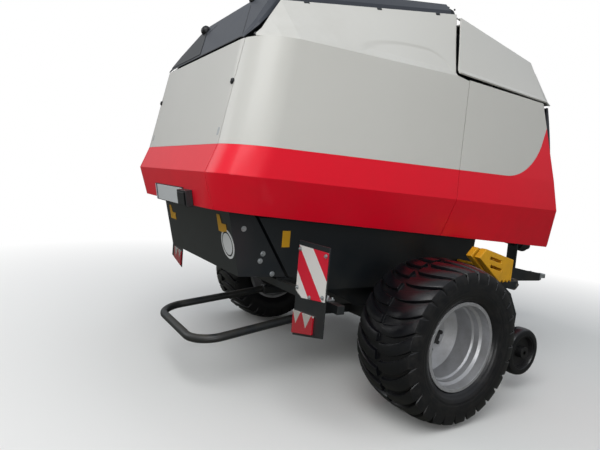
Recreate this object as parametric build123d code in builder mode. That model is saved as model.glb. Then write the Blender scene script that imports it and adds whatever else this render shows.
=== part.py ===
"""Variable-chamber round baler, towed by a tractor, parked on its stand.

Millimetres, +Z up, +X forwards to the hitch. The origin is on the ground under the middle of the
machine's length. Every X below is counted from the axle, and the planes carry the step from there.
"""

import os
from math import atan, cos, radians, sin

from build123d import *

os.makedirs("parts", exist_ok=True)

# Whole machine, with X from the axle
HITCH_X = 3150
EYE_RADIUS = 68
REAR_X = 1542
AXLE_X = (REAR_X - HITCH_X - EYE_RADIUS) / 2

# Fits between pieces
PIN_GAP = 0.08

# Tyres and rims
TYRE_RADIUS = 537
TYRE_HALF = 250
TREAD_HALF = 232
LUG_DEPTH = 24
LUG_COUNT = 24
RIM_RADIUS = 285
RIM_FLANGE = 298
RIM_HALF = 212
RIM_SHEET = 9
WHEEL_Y = 1246
DISC_OFFSET = -95

# Axle
AXLE_BEAM = 130
STUB_RADIUS = 42
HUB_RADIUS = 120

# Bale chamber
CHAMBER_HALF = 610
WALL = 6
GATE_WALL_Y = CHAMBER_HALF + 2 * WALL
CHEEK_HALF = CHAMBER_HALF + 73
SHEET = 6
PIVOT = (440, 2900)
PIVOT_RADIUS = 38
PIVOT_EYE = 65
SPLIT_TOP = (-1146, 1259)
SPLIT_LOW = (-889, 865)
SPLIT_GAP = 10

# Rollers and belts
ROLLER_RADIUS = 90
ROLLER_WALL = 10
BELT = 6
BELT_WIDTH = 214
BELT_PITCH = 236
BELT_COUNT = 5
GATE_ROLLERS = ((-1120, 1010), (-1270, 1950), (-860, 2480), (-250, 2700))
FRONT_ROLLERS = ((140, 1020), (560, 1400), (640, 2150), (300, 2640))
FLOOR_ROLLERS = ((-200, 850), (-470, 880))

# Covers: each line round the machine as height at the axle, rise per unit forwards, rear end, half width
COVER_LINES = (
    (1210, -0.064, 1505, CHAMBER_HALF + 279),
    (1483, -0.026, REAR_X, CHAMBER_HALF + 398),
    (1693, 0.0, 1474, CHAMBER_HALF + 393),
    (2360, 0.026, 1352, CHAMBER_HALF + 344),
)
CORNER = 260
SKIN = 8
SEAM = 6
REAR_SEAM = CHAMBER_HALF + 135
DOOR_SEAM = ((320, 1708), (378, 2350), (264, 2366), (254, 2385), (254, 2500))
COLOUR_Z = 1693

# Roof: sections as X, then crease and upper edge as width past the chamber wall and height
BEVEL = (28, 30)
SIDE_ROOF = (
    (-1314, (226, 2328), (212, 2346)),
    (-1270, (273, 2327), (189, 2388)),
    (-1200, (320, 2329), (139, 2484)),
    (-1092, (344, 2332), (66, 2625)),
    (440, (344, 2371), (112, 2896)),
)
CENTRE_ROOF = (
    (-1350, (130, 2334), (122, 2339), (86, 2346)),
    (-1270, (160, 2415), (146, 2436), (104, 2462)),
    (-1080, (40, 2606), (30, 2665), (-10, 2738)),
    (395, (84, 2872), (74, 2925), (20, 2985)),
)
FRONT_ROOF = (
    (230, (356, 2392), (166, 2886)),
    (1375, (340, 2350), (142, 2707)),
    (1500, (290, 2345), (110, 2640)),
)

# Pickup
REEL = (960, 470)
TINE_TIP = 270
BAR_RING = 130
PICKUP_HALF = 1050
PICKUP_PIVOT = (640, 700)
TINE_PITCH = 72
TINE_ROWS = 2 * int((PICKUP_HALF - 30) / TINE_PITCH)
GAUGE = (1010, 310)
GAUGE_RADIUS = 190
GAUGE_Y = PICKUP_HALF + 150
GUARD_PIVOT = (790, 815)
GUARD_ROLLER = (1150, 800)
GUARD_HALF = PICKUP_HALF - 20

# Feed rotor
ROTOR = (430, 680)
ROTOR_TIP = 245

# Drawbar and stand
DRAWBAR_BACK = (1080, 430, 1000)
DRAWBAR_FRONT = (2450, 55, 640)
EYE_Z = 600
EYE_BORE = 25.5
JACK_X = 2180
JACK_Y = 255
JACK_LEG = 70


def side(y=0.0):
    """Plane seen from the right: x forwards from the axle, y up."""
    return Plane(origin=(AXLE_X, y, 0), x_dir=(1, 0, 0), z_dir=(0, -1, 0))


def across(x=0.0):
    """Plane seen from the front: x to the left, y up."""
    return Plane(origin=(AXLE_X + x, 0, 0), x_dir=(0, 1, 0), z_dir=(1, 0, 0))


def level(z=0.0):
    """Plan plane: x forwards from the axle, y to the left."""
    return Plane(origin=(AXLE_X, 0, z), x_dir=(1, 0, 0), z_dir=(0, 0, 1))


def outline(*points):
    """Fills a closed outline in the open sketch."""
    Polygon(*points, align=None)


def plate(points, y, thickness, mode=Mode.ADD):
    """A plate along the machine from y outwards, on both sides."""
    for sign in (-1, 1):
        with BuildSketch(side(sign * y)) as profile:
            outline(*points)
        extrude(profile.sketch, amount=-sign * thickness, mode=mode)


def disc(x, z, radius, y0, y1, mode=Mode.ADD):
    """A round bar across the machine from y0 to y1."""
    with BuildSketch(side(y0)) as profile:
        with Locations((x, z)):
            Circle(radius)
    extrude(profile.sketch, amount=y0 - y1, mode=mode)


def block(x0, x1, y0, y1, z0, z1, mode=Mode.ADD):
    """A block between two X, two Y and two Z."""
    with Locations((AXLE_X + (x0 + x1) / 2, (y0 + y1) / 2, (z0 + z1) / 2)):
        Box(x1 - x0, abs(y1 - y0), z1 - z0, mode=mode)


def keep(piece, name):
    """Labels a finished piece and writes it."""
    piece.part.label = name
    export_step(piece.part, f"parts/{name}.step")


# Tyres: a rounded carcass with two rows of curved lugs that reach over the shoulders
with BuildPart() as tyre:
    with BuildSketch(Plane.YZ):
        with BuildLine():
            floor = TYRE_RADIUS - LUG_DEPTH
            Polyline((-202, RIM_RADIUS), (202, RIM_RADIUS), (202.7, RIM_FLANGE + 1), (215, RIM_FLANGE + 14))
            ThreePointArc((215, RIM_FLANGE + 14), (TYRE_HALF, 405), (TREAD_HALF, 482))
            ThreePointArc((TREAD_HALF, 482), (0, floor), (-TREAD_HALF, 482))
            ThreePointArc((-TREAD_HALF, 482), (-TYRE_HALF, 405), (-215, RIM_FLANGE + 14))
            Polyline((-215, RIM_FLANGE + 14), (-202.7, RIM_FLANGE + 1), (-202, RIM_RADIUS))
        make_face()
    revolve(axis=Axis.Y)

with BuildPart() as tyre_air:
    with BuildSketch(Plane.YZ):
        with BuildLine():
            Line((-180, RIM_RADIUS + 22), (180, RIM_RADIUS + 22))
            ThreePointArc((180, RIM_RADIUS + 22), (222, 405), (200, 460))
            ThreePointArc((200, 460), (0, floor - 24), (-200, 460))
            ThreePointArc((-200, 460), (-222, 405), (-180, RIM_RADIUS + 22))
        make_face()
    revolve(axis=Axis.Y)

with BuildPart() as tread_ring:
    with BuildSketch(Plane.YZ):
        with BuildLine():
            ThreePointArc((-TREAD_HALF - 6, 496), (0, TYRE_RADIUS), (TREAD_HALF + 6, 496))
            Polyline((TREAD_HALF + 6, 496), (TREAD_HALF + 2, 455), (-TREAD_HALF - 2, 455), (-TREAD_HALF - 6, 496))
        make_face()
    revolve(axis=Axis.Y)

with BuildPart() as lug_pair:
    with BuildSketch(Plane.XY.offset(420)):
        with BuildLine():
            ThreePointArc((38, 6), (14, 120), (-62, TREAD_HALF + 12))
            Line((-62, TREAD_HALF + 12), (-6, TREAD_HALF + 12))
            ThreePointArc((-6, TREAD_HALF + 12), (58, 120), (66, 6))
            Line((66, 6), (38, 6))
        make_face()
    extrude(amount=150)
    add(tread_ring.part, mode=Mode.INTERSECT)

with BuildPart() as tread:
    add(tyre.part)
    step = 360 / LUG_COUNT
    lugs = []
    for turn in range(LUG_COUNT):
        lugs.append(lug_pair.part.rotate(Axis.Y, turn * step))
        lugs.append(mirror(lug_pair.part, Plane.XZ).rotate(Axis.Y, (turn + 0.5) * step))
    add(lugs)
    add(tyre_air.part, mode=Mode.SUBTRACT)

for name, sign in (("left", 1), ("right", -1)):
    with BuildPart() as piece:
        with Locations(Pos(AXLE_X, sign * WHEEL_Y, TYRE_RADIUS) * Rot(0, 0, 0 if sign > 0 else 180)):
            add(tread.part)
    keep(piece, f"tyre_{name}")

# Rims: a stepped barrel with the disc set far inboard, silver
BARREL = ((203, 285), (150, 285), (136, 268), (96, 268), (84, 258), (-60, 258), (-136, 268), (-150, 285), (-203, 285))
with BuildPart() as rim:
    with BuildSketch(Plane.YZ):
        inner = [(w, r - RIM_SHEET) for w, r in reversed(BARREL[1:-1])]
        outline(
            (RIM_HALF, RIM_RADIUS - RIM_SHEET), (RIM_HALF, RIM_FLANGE), (203, RIM_FLANGE), *BARREL,
            (-203, RIM_FLANGE), (-RIM_HALF, RIM_FLANGE), (-RIM_HALF, RIM_RADIUS - RIM_SHEET), *inner,
        )
    revolve(axis=Axis.Y)
    with BuildSketch(Plane.YZ):
        outline((-50, 252), (-40, 252), (DISC_OFFSET + 10, 165), (DISC_OFFSET + 10, 72), (DISC_OFFSET, 72), (DISC_OFFSET, 168))
    revolve(axis=Axis.Y)

# Hubs: the turning hub with its cap, wheel nuts and brake drum
with BuildPart() as hub:
    with BuildSketch(Plane.YZ):
        outline(
            (DISC_OFFSET, STUB_RADIUS + PIN_GAP), (DISC_OFFSET, HUB_RADIUS + 30), (DISC_OFFSET - 30, HUB_RADIUS + 30),
            (DISC_OFFSET - 40, 175), (-246, 175), (-246, 160), (DISC_OFFSET - 60, 160), (DISC_OFFSET - 70, 80),
            (-246, 80), (-246, STUB_RADIUS + PIN_GAP),
        )
    revolve(axis=Axis.Y)
    with BuildSketch(Plane.YZ):
        outline(
            (DISC_OFFSET, STUB_RADIUS + PIN_GAP), (DISC_OFFSET, 71.5), (DISC_OFFSET + 45, 68), (DISC_OFFSET + 75, 50),
            (DISC_OFFSET + 75, 0), (DISC_OFFSET + 66, 0), (DISC_OFFSET + 66, STUB_RADIUS + PIN_GAP),
        )
    revolve(axis=Axis.Y)
    with BuildSketch(Plane.XZ.offset(-DISC_OFFSET - 10)):
        with PolarLocations(118, 10):
            RegularPolygon(15, 6)
    extrude(amount=-18)

for name, sign in (("left", 1), ("right", -1)):
    for source, kind in ((rim, "rim"), (hub, "hub")):
        with BuildPart() as piece:
            with Locations(Pos(AXLE_X, sign * WHEEL_Y, TYRE_RADIUS) * Rot(0, 0, 0 if sign > 0 else 180)):
                add(source.part)
        keep(piece, f"{kind}_{name}")

# Axle: square beam with stub axles, brake backing plates and the brackets of the bale ramp
RAMP_PIVOT = (-450, 510)
BEAM_END = WHEEL_Y - TYRE_HALF - 12
BEAM_TOP = TYRE_RADIUS + AXLE_BEAM / 2
with BuildPart() as axle:
    block(-AXLE_BEAM / 2, AXLE_BEAM / 2, -BEAM_END, BEAM_END, TYRE_RADIUS - AXLE_BEAM / 2, BEAM_TOP)
    for sign in (-1, 1):
        disc(0, TYRE_RADIUS, STUB_RADIUS, sign * (BEAM_END - 5), sign * (WHEEL_Y + DISC_OFFSET + 60))
        disc(0, TYRE_RADIUS, 185, sign * (BEAM_END - 10), sign * (BEAM_END - 2))
        block(RAMP_PIVOT[0] - 45, 0, sign * 335, sign * 375, RAMP_PIVOT[1] - 30, RAMP_PIVOT[1] + 30)
        disc(*RAMP_PIVOT, 20, sign * 355, sign * 455)
keep(axle, "axle")

# Bale ramp: one bent tube that the bale rolls down
RAMP_REAR = (-1415, 449, 380)
RAMP_TUBE = 30
with BuildPart() as ramp:
    with BuildLine() as ramp_path:
        FilletPolyline(
            (AXLE_X + RAMP_PIVOT[0], -415, RAMP_PIVOT[1]), (AXLE_X + RAMP_REAR[0], -RAMP_REAR[1], RAMP_REAR[2]),
            (AXLE_X + RAMP_REAR[0], RAMP_REAR[1], RAMP_REAR[2]), (AXLE_X + RAMP_PIVOT[0], 415, RAMP_PIVOT[1]),
            radius=190,
        )
    with BuildSketch(Plane(ramp_path.line @ 0, z_dir=ramp_path.line % 0)):
        Circle(RAMP_TUBE)
    sweep()
    for sign in (-1, 1):
        disc(*RAMP_PIVOT, 42, sign * 384, sign * 446)
    for sign in (-1, 1):
        disc(*RAMP_PIVOT, 20 + PIN_GAP, sign * 370, sign * 460, mode=Mode.SUBTRACT)
keep(ramp, "bale_ramp")

# Main frame: the two chamber walls, the cheeks behind the wheels, cross beams and the gate's pivot tube
WALL_OUTLINE = (
    (-1128, 1262), (-874, 872), (-560, 760), (-200, BEAM_TOP), (200, BEAM_TOP), (260, 480), (560, 470), (610, 600),
    (675, 650), (675, 750), (690, 845), (1080, 920), (1080, 1080), (1140, 1500), (1140, 2100), (900, 2560),
    (530, 2825), (512, 2840), (500, 2965), (380, 2965), (365, 2860),
)
CHEEK_OUTLINE = (
    (-1134, 1262), (-877, 868), (-560, 760), (300, 760), (380, 1180), (0, 1206), (-900, 1262),
)
CHEEK_POCKET = (
    (-1126, 1270), (-870, 875), (-556, 768), (294, 768), (373, 1190), (0, 1240), (-900, 1290),
)
with BuildPart() as main_frame:
    plate(WALL_OUTLINE, CHAMBER_HALF, WALL)
    plate(CHEEK_OUTLINE, CHAMBER_HALF + WALL, CHEEK_HALF - CHAMBER_HALF - WALL)
    plate(CHEEK_POCKET, CHAMBER_HALF + WALL, CHEEK_HALF - CHAMBER_HALF - WALL - SHEET, mode=Mode.SUBTRACT)
    plate(((-945, 840), (-890, 840), (-700, 800), (-700, 840), (-880, 855), (-945, 855)), 640, 12)
    block(960, 1080, -CHAMBER_HALF - WALL, CHAMBER_HALF + WALL, 920, 1080)
    block(1040, 1100, -CHAMBER_HALF - WALL, CHAMBER_HALF + WALL, 2120, 2180)
    disc(*PIVOT, PIVOT_RADIUS, -GATE_WALL_Y - 30, GATE_WALL_Y + 30)
    for sign in (-1, 1):
        disc(*PICKUP_PIVOT, 25, sign * CHAMBER_HALF, sign * 660)
        disc(*ROTOR, 30 + PIN_GAP, sign * (CHAMBER_HALF - 5), sign * (CHAMBER_HALF + WALL + 5), mode=Mode.SUBTRACT)
keep(main_frame, "main_frame")


def rollers(places, reach, name):
    """Steel rollers between a pair of walls, with stub shafts that meet the walls."""
    with BuildPart() as piece:
        for place in places:
            disc(*place, ROLLER_RADIUS, -reach + 6, reach - 6)
            disc(*place, 30, -reach, reach)
            disc(*place, ROLLER_RADIUS - ROLLER_WALL, -reach + 30, reach - 30, mode=Mode.SUBTRACT)
    keep(piece, name)


rollers(FRONT_ROLLERS + FLOOR_ROLLERS, CHAMBER_HALF, "front_rollers")
rollers(GATE_ROLLERS, GATE_WALL_Y, "gate_rollers")


def belts(places, name):
    """Flat rubber belts side by side round a set of rollers."""
    with BuildPart() as piece:
        first = -(BELT_COUNT - 1) / 2 * BELT_PITCH
        for index in range(BELT_COUNT):
            middle = first + index * BELT_PITCH
            with BuildSketch(side(middle - BELT_WIDTH / 2)):
                outline(*places)
                offset(amount=ROLLER_RADIUS + PIN_GAP + BELT)
                with BuildSketch(mode=Mode.PRIVATE) as hollow:
                    outline(*places)
                    offset(amount=ROLLER_RADIUS + PIN_GAP)
                add(hollow.sketch, mode=Mode.SUBTRACT)
            extrude(amount=-BELT_WIDTH)
    keep(piece, name)


belts(FRONT_ROLLERS, "front_belts")
belts(GATE_ROLLERS, "gate_belts")

# Feed rotor: drum with rows of pointed stars that hand the crop from the pickup to the chamber
with BuildPart() as rotor:
    disc(*ROTOR, 105, -596, 596)
    disc(*ROTOR, 30, -CHAMBER_HALF - WALL, CHAMBER_HALF + WALL)
    for index in range(9):
        with BuildSketch(side(-528 + index * 132)):
            with Locations((ROTOR[0], ROTOR[1])):
                with PolarLocations(0, 4, start_angle=45 * (index % 2)):
                    outline((60, -80), (ROTOR_TIP, -14), (ROTOR_TIP, 4), (90, 70))
        extrude(amount=-12)
keep(rotor, "feed_rotor")

# Door hinges lie along the roof's edge, just under the doors' upper edges
HINGE_BACK = (-1092, CHAMBER_HALF + 60, 2615)
HINGE_FRONT = (440, CHAMBER_HALF + 106, 2886)
HINGE_SHARES = (0.12, 0.5, 0.86)
HINGE_PIN = 6
BARREL_RADIUS = 11
BARREL_HALF = 20


def hinge_plane(sign, share, along=0.0):
    """Plane square to a door's hinge line: x outwards, y up on the left and down on the right."""
    back = Vector(AXLE_X + HINGE_BACK[0], sign * HINGE_BACK[1], HINGE_BACK[2])
    front = Vector(AXLE_X + HINGE_FRONT[0], sign * HINGE_FRONT[1], HINGE_FRONT[2])
    run = front - back
    place = Plane(origin=back + run * share, x_dir=(-run.Y * sign, run.X * sign, 0), z_dir=run)
    return place.offset(along)


def hinge_bar(sign, share, start, end, radius, mode=Mode.ADD):
    """A round bar along the hinge line, from start to end about a share of its length."""
    with BuildSketch(hinge_plane(sign, share, start)) as profile:
        Circle(radius)
    extrude(profile.sketch, amount=end - start, mode=mode)


# Gate: side plates that carry the rear rollers and covers
GATE_OUTLINE = (
    (440, 2965), (-1076, 2664), (-1122, 2650), (-1335, 2326), (-1465.5, 1693), (-1532, 1523), (-1495, 1316),
    (-1342.5, 1310), (-1243.7, 884.5), (-903, 873), (-1158, 1264), (440, 2862),
)
with BuildPart() as gate_frame:
    plate(GATE_OUTLINE, GATE_WALL_Y, WALL)
    for sign in (-1, 1):
        disc(*PIVOT, PIVOT_EYE, sign * GATE_WALL_Y, sign * (GATE_WALL_Y + WALL))
        disc(*PIVOT, PIVOT_EYE - 12, sign * (GATE_WALL_Y + WALL), sign * (GATE_WALL_Y + 24))
    disc(*PIVOT, PIVOT_RADIUS + PIN_GAP, -700, 700, mode=Mode.SUBTRACT)
    block(-1330, -1270, -GATE_WALL_Y, GATE_WALL_Y, 2120, 2180)
    for sign in (-1, 1):
        for share in HINGE_SHARES:
            inner = GATE_WALL_Y + WALL / 2 - HINGE_BACK[1] - share * (HINGE_FRONT[1] - HINGE_BACK[1])
            with BuildSketch(hinge_plane(sign, share, -BARREL_HALF)) as arm:
                corners = ((inner, -40), (6, -40), (8, -5), (-7, -5), (-8, -28), (inner, -28))
                outline(*[(x, y * sign) for x, y in corners])
            extrude(arm.sketch, amount=2 * BARREL_HALF)
            hinge_bar(sign, share, -BARREL_HALF, BARREL_HALF, BARREL_RADIUS)
            hinge_bar(sign, share, -40, 40, HINGE_PIN + PIN_GAP, mode=Mode.SUBTRACT)
keep(gate_frame, "gate_frame")

# Lower gate panel: dark sheet below the red cover, folded round the sides
GATE_PANEL = ((-1347, 1300), (-1249, 878), (-899, 865), (-1156, 1262), (-1182, 1280))
GATE_PANEL_POCKET = ((-1350, 1340), (-1244.2, 884), (-860, 870), (-1100, 1262), (-1100, 1340))
with BuildPart() as gate_panel:
    with BuildSketch(side()):
        outline(*GATE_PANEL)
    extrude(amount=CHEEK_HALF, both=True)
    with BuildSketch(side()):
        outline(*GATE_PANEL_POCKET)
    extrude(amount=CHEEK_HALF - SHEET, both=True, mode=Mode.SUBTRACT)
keep(gate_panel, "gate_lower_panel")


def cover_plane(height, rise):
    """Plane of one line round the covers, which rises or falls forwards."""
    lean = atan(rise)
    return Plane(origin=(AXLE_X, 0, height), x_dir=(cos(lean), 0, sin(lean)), z_dir=(-sin(lean), 0, cos(lean)))


# Cover skin: the whole belt of panels round the sides and the back, open in front and cut up below
FRONT_REACH = 1900
with BuildPart() as skin:
    for inset, mode in ((0, Mode.ADD), (SKIN, Mode.SUBTRACT)):
        for height, rise, rear, half in COVER_LINES:
            with BuildSketch(cover_plane(height, rise)) as section:
                with Locations(((FRONT_REACH - rear + inset) / 2, 0)):
                    Rectangle(FRONT_REACH + rear - inset, 2 * (half - inset))
                fillet(section.vertices().group_by(Axis.X)[0], CORNER - inset)
        loft(ruled=True, mode=mode)


def within(*points):
    """Keeps what lies inside an outline seen from the side."""
    with BuildSketch(side()) as profile:
        outline(*points)
    extrude(profile.sketch, amount=1300, both=True, mode=Mode.INTERSECT)


for name, low, high in (("red", 900, COLOUR_Z), ("white", COLOUR_Z, 2500)):
    with BuildPart() as piece:
        add(skin.part)
        within((-1700, low), (-900, low), (-900, high), (-1700, high))
        block(-1700, -900, -REAR_SEAM, REAR_SEAM, low, high, mode=Mode.INTERSECT)
    keep(piece, f"rear_panel_{name}")


def thin(points, shift):
    """Outline of a thin shell from its outer points in half width and height."""
    inner = [(y - shift * (1 if y > 0 else -1 if y < 0 else 0), z - shift) for y, z in reversed(points)]
    return [*points, *inner]


with BuildPart() as roof_side:
    for x, crease, edge in SIDE_ROOF:
        crease, edge = [(CHAMBER_HALF + past, z) for past, z in (crease, edge)]
        small = min(1, (edge[1] - crease[1]) / 120)
        bevel = (crease[0] - BEVEL[0] * small, crease[1] + BEVEL[1] * small)
        with BuildSketch(across(x)):
            outline(*thin([crease, bevel, edge], 6))
    loft(ruled=True)
    within((-1400, 2250), (254, 2250), (254, 2385), (415, 2862), (428, 2910), (-1400, 2910))

with BuildPart() as roof_side_right:
    add(mirror(roof_side.part, Plane.XZ))

for sign, name in ((-1, "right"), (1, "left")):
    for colour in ("red", "white"):
        with BuildPart() as piece:
            add(skin.part)
            if colour == "red":
                within((-1700, 900), (320, 900), (320, COLOUR_Z), (-1700, COLOUR_Z))
            else:
                within((-1700, COLOUR_Z), (DOOR_SEAM[0][0], COLOUR_Z), *DOOR_SEAM, (-1700, 2500))
            with Locations((AXLE_X, sign * (REAR_SEAM + SEAM + 300), 1800)):
                Box(4000, 600, 2000, mode=Mode.INTERSECT)
            if colour == "white":
                add(roof_side.part if sign > 0 else roof_side_right.part)
                for share in HINGE_SHARES:
                    hinge_bar(sign, share, -BARREL_HALF - 2, BARREL_HALF + 2, BARREL_RADIUS + 6, mode=Mode.SUBTRACT)
                    hinge_bar(sign, share, -BARREL_HALF - 14, -BARREL_HALF - 2, BARREL_RADIUS)
                    hinge_bar(sign, share, BARREL_HALF + 2, BARREL_HALF + 14, BARREL_RADIUS)
                    hinge_bar(sign, share, -BARREL_HALF - 4, BARREL_HALF + 4, HINGE_PIN)
        keep(piece, f"door_{name}_{colour}")

# Front side panels, with the red sweeping up at the front edge
for name in ("white", "red"):
    with BuildPart() as piece:
        add(skin.part)
        with BuildSketch(side()):
            with BuildLine():
                Line((326, COLOUR_Z), (874, COLOUR_Z))
                ThreePointArc((874, COLOUR_Z), (1141, 1770), (1323, 1976))
                Line((1323, 1976), (1383, 2130))
                if name == "white":
                    Polyline((1383, 2130), (1314, 2328), (386, 2357), (326, 1708), (326, COLOUR_Z))
                else:
                    Polyline((1383, 2130), (1737, 1118), (1737, 900), (326, 900), (326, COLOUR_Z))
            make_face()
        extrude(amount=1300, both=True, mode=Mode.INTERSECT)
    keep(piece, f"front_panels_{name}")

# Struts from the chamber walls out to the fixed front covers
def cover_half(x, z):
    """Half width of the cover's outer face at one place."""
    rows = [(height + rise * x, half) for height, rise, rear, half in COVER_LINES]
    for (low, narrow), (high, wide) in zip(rows, rows[1:]):
        if z <= high:
            return narrow + (wide - narrow) * (z - low) / (high - low)
    return rows[-1][1]


with BuildPart() as cover_struts:
    for x in (600, 1100):
        for z in (1260, 1600, 2150):
            reach = min(cover_half(x - 20, z - 15), cover_half(x + 20, z + 15)) - SKIN - PIN_GAP
            for sign in (-1, 1):
                block(x - 20, x + 20, sign * (CHAMBER_HALF + WALL), sign * reach, z - 15, z + 15)
        fall = (FRONT_ROOF[1][2][1] - FRONT_ROOF[0][2][1]) / (FRONT_ROOF[1][0] - FRONT_ROOF[0][0])
        ceiling = FRONT_ROOF[0][2][1] + (x + 20 - FRONT_ROOF[0][0]) * fall + 14 - SKIN - PIN_GAP
        for sign in (-1, 1):
            block(x - 20, x + 20, sign * (CHAMBER_HALF + WALL), sign * (CHAMBER_HALF + WALL + 20), 1245, ceiling)
keep(cover_struts, "cover_struts")

# Dark roof sheet in the middle, from the rear panel's top edge forwards over the gate
with BuildPart() as centre_roof:
    for x, *corners in CENTRE_ROOF:
        half = [(CHAMBER_HALF + past, z) for past, z in corners]
        points = half + [(-y, z) for y, z in reversed(half)]
        with BuildSketch(across(x)):
            outline(*thin(points, 8))
    loft(ruled=True)
keep(centre_roof, "centre_roof")

# Front roof: one moulding over both sides, a little prouder than the doors
with BuildPart() as front_roof:
    for x, low, high in FRONT_ROOF:
        low, high = [(CHAMBER_HALF + past, z) for past, z in (low, high)]
        half = [low, (low[0] - BEVEL[0], low[1] + BEVEL[1]), high, (high[0] - 110, high[1] + 14)]
        points = half + [(-y, z) for y, z in reversed(half)]
        with BuildSketch(across(x)):
            outline(*thin(points, 8))
    loft(ruled=True)
    with BuildSketch(across(x)):
        outline(*points)
    extrude(amount=8)
    within((264, 2300), (264, 2391), (425, 2865), (440, 3000), (1600, 3000), (1600, 2300))
    block(200, 525, -CHAMBER_HALF - 125, CHAMBER_HALF + 125, 2700, 3000, mode=Mode.SUBTRACT)
keep(front_roof, "front_roof")

# Front lid over the net wrap box: a bowed sheet with folded sides, hung in front of the roof's end
LID_PIVOT = (1530, 2300)
LID_HALF = CHAMBER_HALF + 250
LID_FOLD = 60
with BuildPart() as front_lid:
    for half, shift, mode in ((LID_HALF, 0, Mode.ADD), (LID_HALF - SHEET, SHEET, Mode.SUBTRACT)):
        with BuildSketch(side()):
            with BuildLine():
                ThreePointArc((1542 - shift, 2332), (1686 - shift, 1830), (1752 - shift, 1270))
                Polyline((1752 - shift, 1270), (1752 - LID_FOLD, 1270))
                ThreePointArc((1752 - LID_FOLD, 1270), (1686 - LID_FOLD, 1830), (1518, 2332))
                Line((1518, 2332), (1542 - shift, 2332))
            make_face()
        extrude(amount=half, both=True, mode=mode)
        if mode == Mode.SUBTRACT:
            block(1400, 1752 - LID_FOLD - 2, -half, half, 1200, 1300, mode=mode)
    for sign in (-1, 1):
        block(LID_PIVOT[0] - 12, LID_PIVOT[0] + 6, sign * (CHAMBER_HALF + 12), sign * (CHAMBER_HALF + 30), 2288, 2330)
        disc(*LID_PIVOT, 18, sign * (CHAMBER_HALF + 12), sign * (CHAMBER_HALF + 30))
    disc(*LID_PIVOT, 10 + PIN_GAP, -CHAMBER_HALF - 90, CHAMBER_HALF + 90, mode=Mode.SUBTRACT)
keep(front_lid, "front_lid")

# Net wrap box and the brackets that carry the lid's hinge bar
BOX_HALF = CHAMBER_HALF - 10
with BuildPart() as net_box:
    block(1180, 1420, -BOX_HALF, BOX_HALF, 1500, 1900)
    block(1195, 1430, 15 - BOX_HALF, BOX_HALF - 15, 1515, 1910, mode=Mode.SUBTRACT)
    for sign in (-1, 1):
        block(1140, 1200, sign * BOX_HALF, sign * (BOX_HALF + 16), 1500, 2300)
        block(1140, LID_PIVOT[0], sign * BOX_HALF, sign * (BOX_HALF + 16), LID_PIVOT[1] - 22, LID_PIVOT[1] + 10)
        disc(*LID_PIVOT, 16, sign * BOX_HALF, sign * (BOX_HALF + 16))
    disc(*LID_PIVOT, 10, -BOX_HALF - 50, BOX_HALF + 50)
keep(net_box, "net_box")

# Drawbar: two beams that meet at the hitch head, with the stand's outer tube
with BuildPart() as drawbar:
    for sign in (-1, 1):
        start = Vector(AXLE_X + DRAWBAR_BACK[0], sign * DRAWBAR_BACK[1], DRAWBAR_BACK[2])
        end = Vector(AXLE_X + DRAWBAR_FRONT[0], sign * DRAWBAR_FRONT[1], DRAWBAR_FRONT[2])
        run = end - start
        with BuildSketch(Plane(origin=start, x_dir=(-run.Y, run.X, 0), z_dir=run)):
            Rectangle(70, 140)
        extrude(amount=run.length)
        block(1080, 1100, sign * 340, sign * 520, 925, 1075)
    block(900, DRAWBAR_BACK[0], -600, 600, 800, 1200, mode=Mode.SUBTRACT)
    with BuildSketch(side()):
        outline((2330, 580), (3000, 555), (3040, 555), (3040, 645), (3000, 645), (2420, 745), (2330, 745))
    extrude(amount=80, both=True)
    block(JACK_X - 60, JACK_X + 60, 100, JACK_Y, 620, 780)
    block(JACK_X - 46, JACK_X + 46, JACK_Y - 46, JACK_Y + 46, 320, 860)
    block(
        JACK_X - JACK_LEG / 2 - 0.5, JACK_X + JACK_LEG / 2 + 0.5,
        JACK_Y - JACK_LEG / 2 - 0.5, JACK_Y + JACK_LEG / 2 + 0.5, 300, 850, mode=Mode.SUBTRACT,
    )
keep(drawbar, "drawbar")

with BuildPart() as jack_leg:
    block(
        JACK_X - JACK_LEG / 2, JACK_X + JACK_LEG / 2, JACK_Y - JACK_LEG / 2, JACK_Y + JACK_LEG / 2, 10, 560,
    )
    block(JACK_X - 110, JACK_X + 110, JACK_Y - 90, JACK_Y + 90, 0, 18)
keep(jack_leg, "jack_leg")

# Hitch eye: forged ring on a bolted flange
with BuildPart() as hitch_eye:
    with BuildSketch(level(EYE_Z - 22.5)):
        with Locations((HITCH_X, 0)):
            Circle(EYE_RADIUS)
        with Locations((HITCH_X - 52, 0)):
            Rectangle(104, 90)
        with Locations((HITCH_X, 0)):
            Circle(EYE_BORE, mode=Mode.SUBTRACT)
    extrude(amount=45)
    block(3040, 3062, -80, 80, 560, 640)
keep(hitch_eye, "hitch_eye")

# Gearbox and drive shaft in its rest
GEARBOX = (1290, 1220)
with BuildPart() as gearbox:
    block(1140, 1440, -130, 130, 1080, 1360)
    block(1080, 1160, -90, 90, 1000, 1200)
    disc(GEARBOX[0], GEARBOX[1], 45, 130, 720)
    with BuildSketch(across(1440)):
        with Locations((0, GEARBOX[1])):
            Circle(70)
    extrude(amount=60)
keep(gearbox, "gearbox")

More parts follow.
